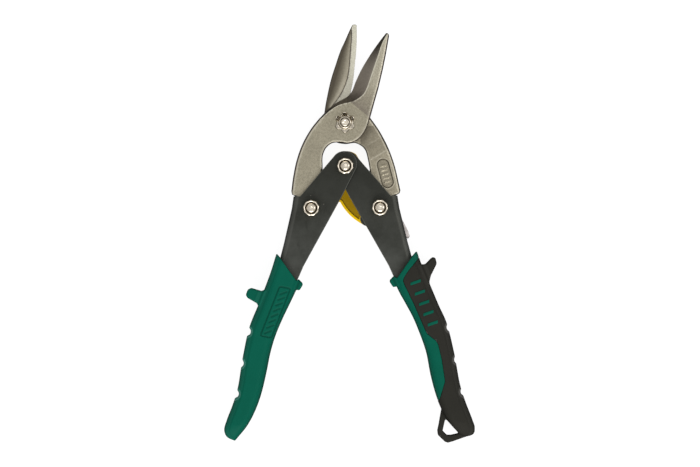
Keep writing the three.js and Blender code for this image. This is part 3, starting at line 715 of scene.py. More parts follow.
def make_front_blade():
    edge, ridge = smooth(FRONT_EDGE, 130), smooth(FRONT_RIDGE, 130)
    shoulder = smooth(FRONT_SHOULDER, 110)[1:-1]
    heel = polyline(FRONT_HEEL, 0.5)
    tail = arc(LEFT, TAIL_RADIUS, 170, 360, 40)
    within = smooth(FRONT_INSIDE, 110)
    back = polyline(FRONT_BACK[::-1], 0.4)
    tip = polyline([(26.2, 50.3), (26.15, 51.0), (25.8, 51.7), (25.2, 52.15), (24.4, 52.2)], 0.3)[1:-1]
    # Each stretch: points, eased width, painted highlight, painted shade, and for a slope its inner line and
    # edge height.
    top = Rim((edge, 0.8, 1.0, 0.66, ridge, 0.6), (shoulder, 1.5, 0.8, 1.0), (heel, 0.9, 0.6, 0.9),
              (tail, 0.3), (within, 1.0, 0.6, 1.0), (back, 1.5, 0.8, 1.0), (tip, 0.9, 0.4, 1.0))
    under = Rim((edge, 0.05), (shoulder, 0.5), (heel, 0.4), (tail, 0.2), (within, 0.4), (back, 0.3),
                (tip, 0.3))

    def bottom(p):
        pad = -ramp(np.array([-p[:, 0], p[:, 1]]).T)
        covered = (p[:, 0] > -9) | (p[:, 1] > -8)
        return np.where(covered, 0.1, pad)

    creases = [across(CREASE, CREASE_HEADING, away) for away in (-0.12, 0.12)]
    bm = plate(top, under, front_height, bottom, front_tint, creases, blade_holes(LEFT, 4.1))
    piece("front_blade_body", bm, "front_jaw", BLADE, "front_blade", 30)


REAR_EDGE = [(7.4, 56.2), (7.4, 50), (7, 42.5), (6, 33), (5.1, 25), (3.8, 18.7), (3, 15.5)]
REAR_BACK = [(4.4, 56.5), (2.4, 52.5), (0.4, 48), (-2.2, 42.5), (-5.2, 34), (-8.1, 25), (-10.2, 16),
             (-11.7, 8.1), (-12.6, 1)]
REAR_SHOULDER = [(14.8, 2.9), (20, -4.7), (24.9, -14.2), (28.8, -25.2), (31.4, -36.7), (32.1, -39.8)]
REAR_HEEL = [(32.1, -39.8), (31.7, -41.3), (30.2, -42.3), (27.6, -43.4)]
REAR_INSIDE = [(14.3, -27.1), (13.3, -21.5), (11.9, -16.3), (9.9, -13.8), (5.9, -11.8), (0, -12.3),
               (-6, -10.9), (-11, -6), (-12.6, 1)]
LAND_EDGE = [(4.4, 57.6), (4.3, 50), (3.7, 42.5), (2.8, 32.5), (1.8, 26.5), (-0.3, 20.5), (-3.5, 14.8),
             (-7.5, 9.6)]
LAND_RIGHT = 8.2
LAND_LINE, BACK_LINE = np.array(smooth(LAND_EDGE, 90)), np.array(smooth(REAR_BACK, 90))


def serrated(points, pitch, depth):
    """Fine teeth along a cutting edge."""
    dense = polyline(points, pitch / 2)
    return [(x - (depth if k % 2 else 0), y) for k, (x, y) in enumerate(dense)]


def on_tail(p):
    return (p[:, 0] > 9) & (p[:, 1] < -2)


def nearest_on(line, p):
    """The line's own point nearest to a place."""
    return line[np.argmin(np.hypot(*(line - np.asarray(p)).T))]


def hollow(p):
    """Where the hollow is, how far a point is from the land, and how near the back (0 to 1)."""
    to_land, to_back = distance(p, LAND_LINE, closed=False), distance(p, BACK_LINE, closed=False)
    nearest = np.array([nearest_on(LAND_LINE, q) for q in p])
    where = (p[:, 1] > -2) & (p[:, 0] < LAND_RIGHT + 0.3) & (p[:, 0] < nearest[:, 0] + 1e-6)
    return where, to_land, to_land / np.maximum(to_land + to_back, 1e-6)


def rear_height(p):
    where, to_land, share = hollow(p)
    depth = 0.35 * ease(to_land / 0.3) + 1.5 * share ** 1.7
    ground = np.where(where, -0.1 - depth, -0.1)
    return np.where(on_tail(p), np.maximum(ground, ramp(p)), ground) - badge_depth(p)


def rear_tint(p):
    """Painted highlight and painted shade: painted shade deepens the hollow towards the back and at the
    land's edge, the land towards its lower end, the tail near the pivot and the badge; painted highlights
    lie across the hollow, along the ramp's edges and round the badge.
    """
    where, to_land, share = hollow(p)
    low_down = 0.30 + 0.24 * ease((32 - p[:, 1]) / 14)
    wear = np.where(where, low_down * bell(share, 0.20, 0.17), 0.0)
    shade = np.where(where, 1.42 * share ** 1.15 + 0.9 * bell(to_land, 0, 0.3), 0.0)
    land_part = ~where & (p[:, 1] > 9) & (p[:, 0] < LAND_RIGHT)
    shade = np.where(land_part, 0.27 * ease((36 - p[:, 1]) / 16), shade)
    tail, badge = on_tail(p), distance(p, BADGE, closed=False)
    climbed = along(p, RAMP_START, RAMP_HEADING)
    from_pivot = np.hypot(p[:, 0], p[:, 1])
    # Painted shade: the tail darkens near the pivot, where the front blade lies over it.
    shade = np.where(tail, 0.72 * np.exp(-np.maximum(from_pivot - 14.5, 0) / 4.5), shade)
    shade = np.maximum(shade, np.where(badge < 3.1, 0.22, 0.0) + bell(badge, 3.35, 0.3))
    lines = 0.22 * bell(climbed, 0, 0.3) + 0.5 * bell(climbed, RAMP_LENGTH, 0.3)
    light = np.maximum(lines, 0.45 * bell(badge, 4.0, 0.25))
    return np.where(tail, light, wear), shade


def make_rear_blade():
    edge = serrated(smooth(REAR_EDGE, 60), 0.9, 0.14)
    back = smooth(REAR_BACK, 90)[::-1]
    shoulder = smooth(REAR_SHOULDER, 110)
    heel = polyline(REAR_HEEL, 0.5)[1:]
    tail = arc(RIGHT, TAIL_RADIUS, 10, -180, 40)
    within = smooth(REAR_INSIDE, 110)[:-1]
    tip = polyline([(4.4, 56.5), (4.75, 57.2), (5.6, 57.5), (7.1, 57.4), (7.4, 56.2)], 0.4)[1:-1]
    root = polyline([edge[-1], (5, 12.8), (9.5, 9), (14.8, 2.9)], 0.8)[1:-1]
    # Each stretch: points, eased width, painted highlight, painted shade, and for a slope its inner line and
    # edge height.
    top = Rim((shoulder, 1.45, 0.9, 1.0), (heel, 1.0, 0.8, 0.9), (tail, 0.3), (within, 0.9, 0.5, 1.0),
              (back, 0.9, 0.3, 0.9), (tip, 0.3, 0.3, 0.4), (edge, 0.14, 0.2, 0.6), (root, 0.3))
    slanted = [(x - 3.6 - (56 - y) * 0.08, y - 0.5) for x, y in edge]
    slanted = [(x + 0.14 if k % 2 else x, y) for k, (x, y) in enumerate(slanted)]
    under = Rim((shoulder, 0.6), (heel, 0.5), (tail, 0.3), (within, 0.5), (back, 0.8), (tip, 0.4),
                (edge, 0.3, 0.4, 0.0, slanted, -0.6), (root, 0.3))

    def bottom(p):
        return np.full(len(p), -BLADE_FRONT)

    lines = [[(x - away, y) for x, y in LAND_LINE] for away in (0, 0.15, 0.32, 0.7)]
    lines += [badge_outline(r) for r in BADGE_RINGS]
    lines += [across(RAMP_START, RAMP_HEADING, away + end)
              for end in (0.0, RAMP_LENGTH) for away in (-0.3, 0.0, 0.3)]
    bm = plate(top, under, rear_height, bottom, rear_tint, lines, blade_holes(RIGHT, 4.0), spacing=0.75)
    for face in bm.faces:
        x, y, z = face.calc_center_median()
        right_of_land = nearest_on(LAND_LINE, (x, y))[0] < x < LAND_RIGHT
        face.material_index = int(z > -0.4 and y > 8.5 and right_of_land and face.normal.z > -0.2)
    obj = piece("rear_blade_body", bm, "rear_jaw", BLADE_REAR, "rear_blade", 30)
    obj.data.materials.append(LAND)


BADGE = ((22.1, -24.9), (24.6, -34.8))
BADGE_RINGS = (0.35, 0.75, 1.15, 1.55, 1.95, 2.3, 2.6, 2.85, 3.1, 3.3, 3.55, 3.8, 4.1, 4.4)


def badge_outline(r):
    loop = arc(BADGE[0], r, 7.5, 187.5, 26) + arc(BADGE[1], r, 187.5, 367.5, 26)
    return polyline(loop + loop[:1], 0.4)


def badge_depth(p):
    """Long rounded recess in the rear blade's tail, with a row of raised bars."""
    depth = 0.6 * ease((3.6 - distance(p, BADGE, closed=False)) / 0.5)
    (x0, y0), (x1, y1) = BADGE
    count, half_long = 5, 1.5
    for k in range(count):
        t = (k + 0.15) / (count - 0.7)
        x, y = x0 + (x1 - x0) * t, y0 + (y1 - y0) * t
        bar = ((x - half_long, y - 0.5), (x + half_long, y + 0.3))
        depth = depth - 0.28 * ease((0.75 - distance(p, bar, closed=False)) / 0.45)
    return depth


# ---- levers ----
LEVER_OUT = [(-30.4, -43.3), (-31.4, -50), (-33.8, -60), (-36.1, -70), (-38.5, -79), (-42.3, -90.6),
             (-47.3, -105), (-51.4, -120), (-54, -130)]
LEVER_IN = [(-2.3, -43.3), (-25, -83.8), (-28, -90.6), (-36, -105), (-42.8, -120), (-46.5, -130)]


LEVER_TOP = -42.8
HEEL_ROOM = [(-33, -39), (-33, -41.2), (-31.3, -42.05), (-29.6, -42.95), (-27.2, -44.15), (-26, -43),
             (-26, -39)]


def x_along(line):
    """Function that gives the x of a falling line at a height."""
    ys, xs = [-q[1] for q in line], [q[0] for q in line]
    return lambda y: float(np.interp(-y, ys, xs))


LEVER_OUT_X, LEVER_IN_X = x_along(LEVER_OUT), x_along(LEVER_IN)


def lever_section(y):
    """Channel section of a lever at a height, open towards the middle."""
    out, inn = LEVER_OUT_X(y), LEVER_IN_X(y)
    half, bend, steps = 6.7, 3.5, 8
    front, rear = (out + bend, half - bend), (out + bend, -half + bend)
    loop = [(inn, half), *arc(front, bend, 90, 180, steps), *arc(rear, bend, 180, 270, steps), (inn, -half),
            (inn, -half + SHEET), *arc(rear, bend - SHEET, 270, 180, steps),
            *arc(front, bend - SHEET, 180, 90, steps), (inn, half - SHEET)]
    return [(x, y, z + LEVER_SHIFT) for x, z in loop]


def corners_highlit(bm, side):
    """Painted highlight layer along the middle of the rounded corners, and faintly along the folded side."""
    layer = bm.verts.layers.float.new("wear")
    bm.normal_update()
    for v in bm.verts:
        bends = sorted(e.calc_face_angle(0) for e in v.link_edges if len(e.link_faces) == 2)
        highlit = bends and min(bends[-2:]) > math.radians(22)
        into = -(abs(v.co.x) + LEVER_OUT_X(v.co.y))
        bent = 1.0 < into < 2.9 and abs(v.normal.z) < 0.99
        folded = bent and v.co.x * side > 0 and v.co.y < LEVER_TOP + 0.1
        v[layer] = 0.6 if highlit else 0.20 if folded else 0.0


def make_lever(name, node, body, right):
    """Lever in the left one's place; the right one has an extra ear and is turned over at the end."""
    heights = {round(y, 2) for _, y in smooth(LEVER_OUT, 60) if y > -112}
    channel = loft([lever_section(y) for y in sorted({LEVER_TOP, -43.3, -83.8, *heights}, reverse=True)])
    ear = [(-26.8, -43.3), *arc((-0.6, -24.1), 7.4, 139, -30, 48), (-2.3, -43.3),
           (LEVER_IN_X(-44.5), -44.5), (-26.9, -44.5)]
    added = [prism(ear, OUTER_FACE - SHEET, OUTER_FACE), prism(ear, -INNER_FACE, -INNER_FACE + SHEET)]
    cut = [prism(HEEL_ROOM, -TAIL - 0.25, BLADE_FRONT + 0.25)]
    cut += [turned(centre, [(r, -15), (r, 15)], 40) for centre, r in ((LEFT, PIVOT_HOLE), (HANDLES, 3.4))]
    if right:
        added.append(prism(arc((-12.6, -56.3), 4.2, 0, 352, 44), OUTER_FACE - SHEET, OUTER_FACE))
        cut.append(turned(HANDLES, [(PIVOT_HOLE, 5.4), (5.35, 7.85)], 40))
    bm = combined(channel, *[("UNION", b) for b in added], *[("DIFFERENCE", b) for b in cut])
    bmesh.ops.remove_doubles(bm, verts=bm.verts, dist=0.003)
    bmesh.ops.dissolve_limit(bm, angle_limit=math.radians(0.6), verts=bm.verts, edges=bm.edges)
    if right:
        bmesh.ops.transform(bm, verts=bm.verts, matrix=Matrix.Rotation(math.pi, 4, "Y"))
    softened(bm, 0.35, 3, 60, clamp=False)
    bmesh.ops.triangulate(bm, faces=[f for f in bm.faces if len(f.verts) > 4])
    corners_highlit(bm, 1 if right else -1)
    piece(name, bm, body, BLACK, node, 35)


# ---- grips ----
LEFT_OUT = [(-38.5, -70), (-40.9, -77), (-44.3, -87.5), (-51.5, -106), (-56.8, -119), (-60.9, -137),
            (-64, -155), (-67.2, -165), (-70.4, -173), (-72, -179), (-70.4, -183), (-65.6, -185.3)]
LEFT_IN = [(-20, -70), (-24.2, -84), (-29, -97), (-32.3, -104), (-37.2, -114), (-41.5, -124),
           (-44.6, -134), (-46.9, -145), (-50.1, -158), (-53.8, -168), (-58.4, -176.5), (-65.6, -185.3)]
RIGHT_OUT = [(38.6, -70), (41.6, -76), (43.8, -82.5), (48.1, -93), (54.1, -107.5), (58.3, -117),
             (62.7, -135), (66.1, -154), (69.4, -164.5), (73, -174), (74.5, -179), (73.6, -182.5),
             (69.5, -184)]
RIGHT_IN = [(20, -70), (25.2, -85), (30.4, -98.2), (34.2, -105.3), (38.8, -114), (43, -124.3),
            (46.4, -134.5), (49, -148.4), (52.2, -160.4), (55.2, -168), (58.9, -175), (64.7, -182),
            (69.5, -184)]
GRIP_HALF = 10.2
FLANK = 3.1
COLLAR = [(-44, -72.4), (-40.2, -76.6), (-38.2, -79), (-29.4, -91.4), (-24.5, -98.4)]
NUB = [(-32, -93), (-28.9, -92), (-27.9, -91.2), (-25.6, -93.6), (-25.5, -94.9), (-27.3, -97.7),
       (-29.6, -97.3), (-33, -97)]


def falling(line):
    """Function that gives the x of a smoothed line at a height, along the part that runs steadily down."""
    pts = smooth(line, 240)
    kept = [pts[0]]
    for p in pts[1:]:
        if p[1] < kept[-1][1] - 1e-4:
            kept.append(p)
    return x_along(kept)


LEFT_SIDES = falling(LEFT_OUT), falling(LEFT_IN)
RIGHT_SIDES = falling(RIGHT_OUT), falling(RIGHT_IN)


def grip_block(sides, shift, end, grow=0.0):
    """Grip with soft corners between its two sides, rounded off at its lower end."""
    top, tapered, count = -71.0, 12, 56
    levels = [*np.linspace(top, end + tapered, 70),
              *(end + tapered - 11.8 * math.sin(math.pi / 2 * k / 26) for k in range(1, 27))]
    sections = []
    for y in levels:
        x0, x1 = (x_at(y) for x_at in sides)
        middle, half = (x0 + x1) / 2, abs(x1 - x0) / 2 + grow
        near = max(0.0, 1 - (y - end) / tapered)
        high = (GRIP_HALF + grow) * math.sqrt(1 - 0.75 * near ** 2)
        ring = []
        for k in range(count):
            a = 2 * math.pi * (k + 0.5) / count
            c, s = math.cos(a), math.sin(a)
            ring.append((middle + math.copysign(half * abs(c) ** 0.6, c), y,
                         shift + math.copysign(high * abs(s) ** 0.6, s)))
        sections.append(ring)
    return loft(sections)


def above_collar(side):
    """Cutter for everything above the slanting upper end of a grip."""
    outline = [*COLLAR, (0, -98), (0, -50), (-70, -50)]
    return prism([(-side * x, y) for x, y in outline], -20, 20)


def lug(outline, shift, half, easing):
    """Block with eased edges, as thick to the front as to the back of a handle's middle."""
    return softened(prism(outline, shift - half, shift + half), easing, 3, 40)


def row(first, last, count):
    """Evenly spaced places from the first to the last."""
    (x0, y0), (x1, y1) = first, last
    return [(x0 + (x1 - x0) * k / (count - 1), y0 + (y1 - y0) * k / (count - 1)) for k in range(count)]


FRAME = [(-38.8, -95.2), (-32.4, -96.5), (-43.7, -125.1), (-50.3, -123.7)]
LEFT_NOTCHES = [(-58.6, -121.4), (-62.9, -139.9), (-65.9, -157.7)]
RIGHT_NOTCHES = [(61.1, -119.9), (65.4, -138.9), (69, -157.5)]


def frame_line():
    """The engraved four-sided frame with small round corners."""
    loop = []
    for k, corner in enumerate(FRAME):
        before, after = Vector(FRAME[k - 1]), Vector(FRAME[(k + 1) % 4])
        corner = Vector(corner)
        a = corner + (before - corner).normalized() * 1.1
        b = corner + (after - corner).normalized() * 1.1
        loop += [tuple(a), tuple((a + b + 2 * corner) / 4), tuple(b)]
    return loop


def engrave(bm, shift):
    """Frame and slanted ribs pressed into the front of the left grip, with painted shade in them."""
    shade = bm.verts.layers.float["shade"]
    front = [v for v in bm.verts if v.co.z > shift + 4 and v.normal.z > 0.15 and -128 < v.co.y < -92]
    places = np.array([v.co.xy for v in front])
    groove = ease((0.62 - distance(places, frame_line())) / 0.5)
    ribs = np.zeros(len(front))
    for x, y in row((-36.6, -98.9), (-45.8, -121.5), 8):
        rib = [(x - 1.9, y - 0.9), (x + 1.9, y + 0.5)]
        ribs = np.maximum(ribs, ease((0.75 - distance(places, rib, closed=False)) / 0.5))
    for v, line, rib in zip(front, groove, ribs):
        v.co.z -= 0.42 * line + 0.3 * rib
        v[shade] = max(v[shade], 0.6 * line, 0.45 * rib)


def make_left_grip():
    shift = LEVER_SHIFT
    guard = [(-44, -96), (-49.8, -98), (-55.6, -96.2), (-57.4, -96.8), (-58.7, -100.3), (-57.4, -102),
             (-52.2, -105), (-50.6, -108.5), (-44, -107)]
    bm = combined(grip_block(LEFT_SIDES, shift, -185.3), ("DIFFERENCE", above_collar(-1)),
                  ("UNION", lug(guard, shift, 8.4, 0.9)), ("UNION", lug(NUB, shift, 8.2, 0.4)),
                  *notches(LEFT_NOTCHES, shift))
    bm = remeshed(bm, 4)
    flanked(bm, LEFT_SIDES[0], shift)
    mark_edges(bm, LEFT_SIDES, LEFT_NOTCHES)
    engrave(bm, shift)
    piece("left_grip_body", bm, "left_handle", GREEN, "left_grip", 0)


def notches(centres, shift):
    """Cuts for the finger notches, wider towards the front and the back."""
    wide, narrow = 3.9, 2.7
    profile = [(wide, -20), (wide, shift - 9.6), (narrow, shift - 4.5), (narrow, shift + 4.5),
               (wide, shift + 9.6), (wide, 20)]
    return [("DIFFERENCE", turned(centre, profile, 32)) for centre in centres]


def flanked(bm, outside, shift):
    """Chamfers the outer flank of a grip, front and back, and keeps it inside the CAD model's width."""
    left, right = cad_box[0][0] * 1000 + 0.02, cad_box[1][0] * 1000 - 0.02
    for v in bm.verts:
        v.co.x = max(left, min(right, v.co.x))
        into = abs(v.co.x - outside(v.co.y))
        limit = GRIP_HALF - 0.2 - 0.5 * max(0.0, FLANK - into)
        v.co.z = shift + max(-limit, min(limit, v.co.z - shift))


def mark_edges(bm, sides, centres=()):
    """Painted highlight and painted shade layers: a painted reflection on the outer flank, painted
    highlights round the notches, painted shade on the inner flank, along the outer edge and along the
    flank's line.
    """
    wear, shade = (bm.verts.layers.float.new(name) for name in ("wear", "shade"))
    for v in bm.verts:
        pale, dark = (abs(v.co.x - x_at(v.co.y)) for x_at in sides)
        near = min((math.dist(v.co.xy, c) for c in centres), default=99.0)
        bright = 0.08 * ease((FLANK - pale) / 0.5) * ease((pale - 0.5) / 0.5)
        v[wear] = max(bright, 0.85 * ease((4.15 - near) / 0.3) * ease((near - 2.7) / 0.3))
        line = 0.15 * bell(pale, FLANK + 0.3, 0.35)
        v[shade] = max(0.55 * bell(dark, 0, 0.8), 0.5 * bell(pale, 0, 0.5), line)


COVER_BORDER = [(45.5, -75.5), (39.9, -82.4), (35.8, -87.3), (33.6, -90.8), (33.1, -92.6), (33.9, -94.8),
                (39.2, -105.8), (45.8, -121.4), (47, -123.6), (52, -127.6), (53.3, -129.9),
                (55.3, -138.4), (56.8, -149), (57.1, -151.5), (53.8, -162.2), (50, -165.5)]


def cover_zone(shift):
    """Block that holds the dark cover's side of the right grip."""
    return prism([(x + shift, y) for x, y in COVER_BORDER] + [(50, -200), (95, -200), (95, -65)], -22, 22)


def make_right_grip():
    shift, end, gap = -LEVER_SHIFT, -184, 0.12
    guard = [(41, -82), (44.6, -83.2), (46.4, -83.2), (49.2, -80.2), (51, -78.7), (52.2, -79.6),
             (53, -82.7), (49.4, -89.8), (48.6, -93), (48.8, -96.5), (43, -96)]
    loop = [(56.5, -166), (55, -168.4), (53.4, -176.9), (52.6, -180.5), (52.9, -183), (56.9, -186.9),
            (58.6, -187.5), (61.2, -186.8), (69.4, -184), (72, -183), (72, -178), (66, -170)]
    hole = [(57.5, -173.6), (65.2, -182.2), (60.4, -183.2), (58.2, -183.2), (55.6, -180.5), (57, -174.4)]
    nub = [(-x, y + 1.4) for x, y in NUB]
    core = combined(grip_block(RIGHT_SIDES, shift, end), ("DIFFERENCE", above_collar(1)),
                    ("UNION", lug(nub, shift, 8.2, 0.4)), ("DIFFERENCE", cover_zone(0)))
    core = remeshed(core, 3)
    mark_edges(core, RIGHT_SIDES)
    piece("right_grip_core_body", core, "right_handle", GREEN, "right_grip_core", 0)
    cover = combined(grip_block(RIGHT_SIDES, shift, end, gap), ("DIFFERENCE", above_collar(1)),
                     ("INTERSECT", cover_zone(gap)), ("UNION", lug(guard, shift, 8.4, 0.9)),
                     ("UNION", lug(loop, shift, 4.6, 0.8)), ("DIFFERENCE", prism(hole, -22, 22)),
                     *notches(RIGHT_NOTCHES, shift))
    cover = remeshed(cover, 3)
    flanked(cover, RIGHT_SIDES[0], shift)
    mark_edges(cover, RIGHT_SIDES, RIGHT_NOTCHES)
    piece("right_grip_cover_body", cover, "right_handle", COVER, "right_grip_cover", 0)
    top = shift + GRIP_HALF + 0.2
    for k, (x, y) in enumerate(row((40.4, -93.5), (50.2, -117.5), 5)):
        outline = [(x - 3, y - 1.9), (x + 3, y + 0.1), (x + 3, y + 1.9), (x - 3, y - 0.1)]
        mark = softened(prism(outline, top - 1.5, top), 0.25)
        piece(f"grip_mark_{k + 1}", mark, "right_handle", GREEN, None)


# ---- fasteners, spring and latch ----
def shade_ring(bm, centre, near, far, amount=0.6, within=0.0):
    """Shade layer: a ring of painted shade round a bolt, and fainter painted shade within it."""
    layer = bm.verts.layers.float.new("shade")
    for v in bm.verts:
        r = math.hypot(v.co.x - centre[0], v.co.y - centre[1])
        inner_shade = within * ease((r - 0.9) / 0.6) * ease((far - r) / 0.15)
        v[layer] = max(inner_shade, amount * ease((r - near) / 0.15) * ease((far - r) / 0.15))
    return bm


def ring_nut(name, centre, seat, body, turn):
    """Toothed washer and lock nut of one pivot."""
    low, teeth, sides = seat + 0.2, 9, 144
    base = low + 0.7

    def wave(a):
        return 0.5 + 0.5 * math.cos(teeth * (a - turn))

    def crown(a, r):
        return 1 + 0.085 * wave(a) ** 1.4 * ease((r - 4.2) / 0.3)

    def lobes(a, r):
        return 1 + 0.048 * wave(a) ** 1.5 * ease((r - 3.9) / 0.7)

    washer = [(3.3, low), (4.6, low), (4.65, low + 0.25), (4.6, low + 0.5), (3.3, low + 0.5)]
    plated(f"{name}_washer_body", turned_ring(centre, washer, 0.1, sides, crown), body, f"{name}_washer")
    nut = [(3.2, 0), (4.7, 0), (4.8, 0.5), (4.75, 1.5), (4.45, 2.4), (4.0, 2.75), (3.6, 2.5), (3.35, 1.9),
           (3.25, 1.5), (3.2, 1.4)]
    nut = turned_ring(centre, [(r, base + h) for r, h in nut], 0.35, sides, lobes)
    # Painted shade in the groove between nut and bolt.
    plated(f"{name}_nut_body", shade_ring(nut, centre, 3.0, 3.55, 0.45), body, f"{name}_nut", 50)


def stud(r, low, top):
    """Profile of a bolt end: full width, a narrower neck and a round dome."""
    cap = 0.96 * r
    return [(r, low), (r, top - 1.9), (cap, top - 1.6), (cap, top - 1.1), (0.95 * cap, top - 0.7),
            (0.8 * cap, top - 0.35), (0.55 * cap, top - 0.12), (0.28 * cap, top - 0.02), (0, top)]


def pivot_bolt(name, centre, head, easing, seat, top, body):
    """Bolt from the outline of its head; its end stands past the front of the nut."""
    bm = turned(centre, rounded(head, easing) + stud(2.95, seat, top + 4))
    # Painted shade round the bolt end and, fainter, over its dome.
    plated(f"{name}_bolt", shade_ring(bm, centre, 2.6, 3.05, 0.5, 0.34), body, f"{name}_pivot_bolt")


def make_fasteners():
    ring_nut("left_pivot", LEFT, OUTER_FACE, "left_handle", 0.2)
    ring_nut("right_pivot", RIGHT, INNER_FACE, "right_handle", 0.5)
    ring_nut("handle_pivot", HANDLES, OUTER_FACE, "right_handle", 0.35)
    seat = -INNER_FACE - 0.2
    head = [(0, -10.9), (1.8, -10.9), (1.8, seat - 1.4), (4.4, seat - 1.4), (5, seat - 0.9), (5, seat),
            (3, seat)]
    pivot_bolt("left", LEFT, head, 0.15, seat, OUTER_FACE, "left_handle")
    head = [(0, -SHEAR), (4.6, -SHEAR), (5, -SHEAR + 0.4), (5, -11.0), (3, -11.0)]
    pivot_bolt("right", RIGHT, head, 0.15, -11.0, INNER_FACE, "right_handle")
    low = -OUTER_FACE + 0.05
    pivot_bolt("handle", HANDLES, [(0, low), (4.9, low), (3, -5.6)], 0.1, -5.6, OUTER_FACE, "right_handle")


def star_washer(low, bore, valley, tip):
    """Six-pointed washer: the three upper points are bent up round a pocket."""
    sides, rows = 144, 18
    top, shades = [], []
    for j in range(rows + 1):
        t = j / rows
        ring = []
        for k in range(sides):
            a = 360 * k / sides
            point = 0.5 + 0.5 * math.cos(math.radians(6 * (a - 90)))
            rim = valley + (tip - valley) * point ** 0.9
            r = bore + (rim - bore) * t
            nearest = 30 + 60 * round((a - 30) / 60)
            raised = ease((point - 0.05) / 0.4) if nearest % 360 in (30, 90, 150) else 0.0
            aside = math.radians(a - nearest) * r
            pocket = raised * ease(1.9 - math.hypot(aside / 0.95, (r - 4.75) / 0.45))
            lift = 1.5 * raised * ease((r - 3.6) / 0.9) + 0.25 * (1 - raised) * math.sin(math.pi * t)
            z = low + 0.7 + lift - 0.35 * ease((t - 0.9) / 0.1) - (lift + 0.6) * pocket
            ring.append((r * math.cos(math.radians(a)), r * math.sin(math.radians(a)), z))
            # Painted shade: dark in the pockets under the raised points, darker over the flat lower points,
            # and a dark outline at their edges.
            shades.append(max(pocket * (1.0 if nearest % 360 == 90 else 0.8),
                              0.42 * (1 - raised) * ease((t - 0.2) / 0.3),
                              0.8 * (1 - raised) * ease((t - 0.80) / 0.14)))
        top.append(ring)
    inner, outer = ([(x, y, low) for x, y, _ in ring] for ring in (top[0], top[-1]))
    bm = loft([inner, *top, outer, inner], caps=False)
    bmesh.ops.remove_doubles(bm, verts=bm.verts, dist=1e-4)
    bmesh.ops.recalc_face_normals(bm, faces=bm.faces)
    layer = bm.verts.layers.float.new("shade")
    spots = np.array([p[:2] for ring in top for p in ring])
    for v in bm.verts:
        if v.co.z > low + 0.01:
            v[layer] = shades[np.argmin(np.hypot(spots[:, 0] - v.co.x, spots[:, 1] - v.co.y))]
    return bm


def make_main_pivot():
    centre, body = (0, 0), "rear_jaw"
    star = star_washer(BLADE_FRONT + 0.2, 2.9, 4.75, 6.15)
    plated("star_washer", star, body, "main_pivot_star_washer", 50)
    base = BLADE_FRONT + 1.1
    nut = [(2.78, base), (3.95, base), (3.9, base + 1.2), (3.45, base + 2.0), (3.05, base + 2.2),
           (2.8, base + 1.9)]
    # Painted shade at the main nut's outer edge and, fainter, over the rest.
    nut = shade_ring(turned_ring(centre, nut, 0.15), centre, 3.75, 4.1, 0.6, 0.25)
    plated("main_nut", nut, body, "main_pivot_nut", 40)
    shoulder, under_head = BLADE_FRONT - 0.3, -7.2
    bolt = [(3.65, under_head), (3.65, shoulder), (2.55, shoulder), (2.55, 8.9), (2.45, 9.3), (2.15, 9.65),
            (1.75, 9.8), (1.35, 9.72), (0.8, 9.4), (0, 9.3)]
    # Painted shade round the main bolt's end and, fainter, over it.
    plated("main_bolt_shank", shade_ring(turned(centre, bolt), centre, 2.4, 3.2, 0.6, 0.3), body, None)
    head = prism(arc(centre, 12 / math.sqrt(3), 0, 300, 5), -SHEAR, under_head)
    plated("main_bolt_head", softened(head, 0.5, 3), body, "main_pivot_bolt", 40)
    ring = [(4.0, -7.0), (7.4, -7.0), (7.6, -6.8), (7.6, -6.0), (7.4, -5.8), (4.0, -5.8)]
    plated("rear_washer", turned_ring(centre, ring, 0.15), body, "main_pivot_rear_washer")


def make_spring():
    """Coil round the handle pivot with a leg in each handle."""
    coil, turns, rise, steps, wire, sides = 5.6, 3.5, 2.8, 126, 0.68, 14
    leg = [(11, -46.2, 2.9), (7.6, -37, 2.9), (5.9, -30.5, 2.9)]
    path = [(-x, y, -z) for x, y, z in leg]
    for k in range(steps + 1):
        a = math.pi - k / steps * turns * 2 * math.pi
        x, y = HANDLES[0] + coil * math.cos(a), HANDLES[1] + coil * math.sin(a)
        path.append((x, y, -rise + 2 * rise * k / steps))
    path += leg[::-1]
    fine = [Vector(path[0])]
    for a, b in zip(path, path[1:]):
        n = max(1, int(math.dist(a, b) / 0.8))
        fine += [Vector(a).lerp(Vector(b), k / n) for k in range(1, n + 1)]
    rings = []
    for k, p in enumerate(fine):
        t = (fine[min(k + 1, len(fine) - 1)] - fine[max(k - 1, 0)]).normalized()
        side = t.cross(Vector((0, 0, 1))).normalized()
        up = side.cross(t)
        angles = (2 * math.pi * i / sides for i in range(sides))
        rings.append([tuple(p + wire * (math.cos(a) * side + math.sin(a) * up)) for a in angles])
    obj = mesh_object("spring_wire", loft(rings), SPRING)
    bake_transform(obj, "left_handle", "right_handle", start=(-0.006, HANDLES[1] / 1000, 0.012),
             end=(0.006, HANDLES[1] / 1000, 0.012))
    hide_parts("return_spring")


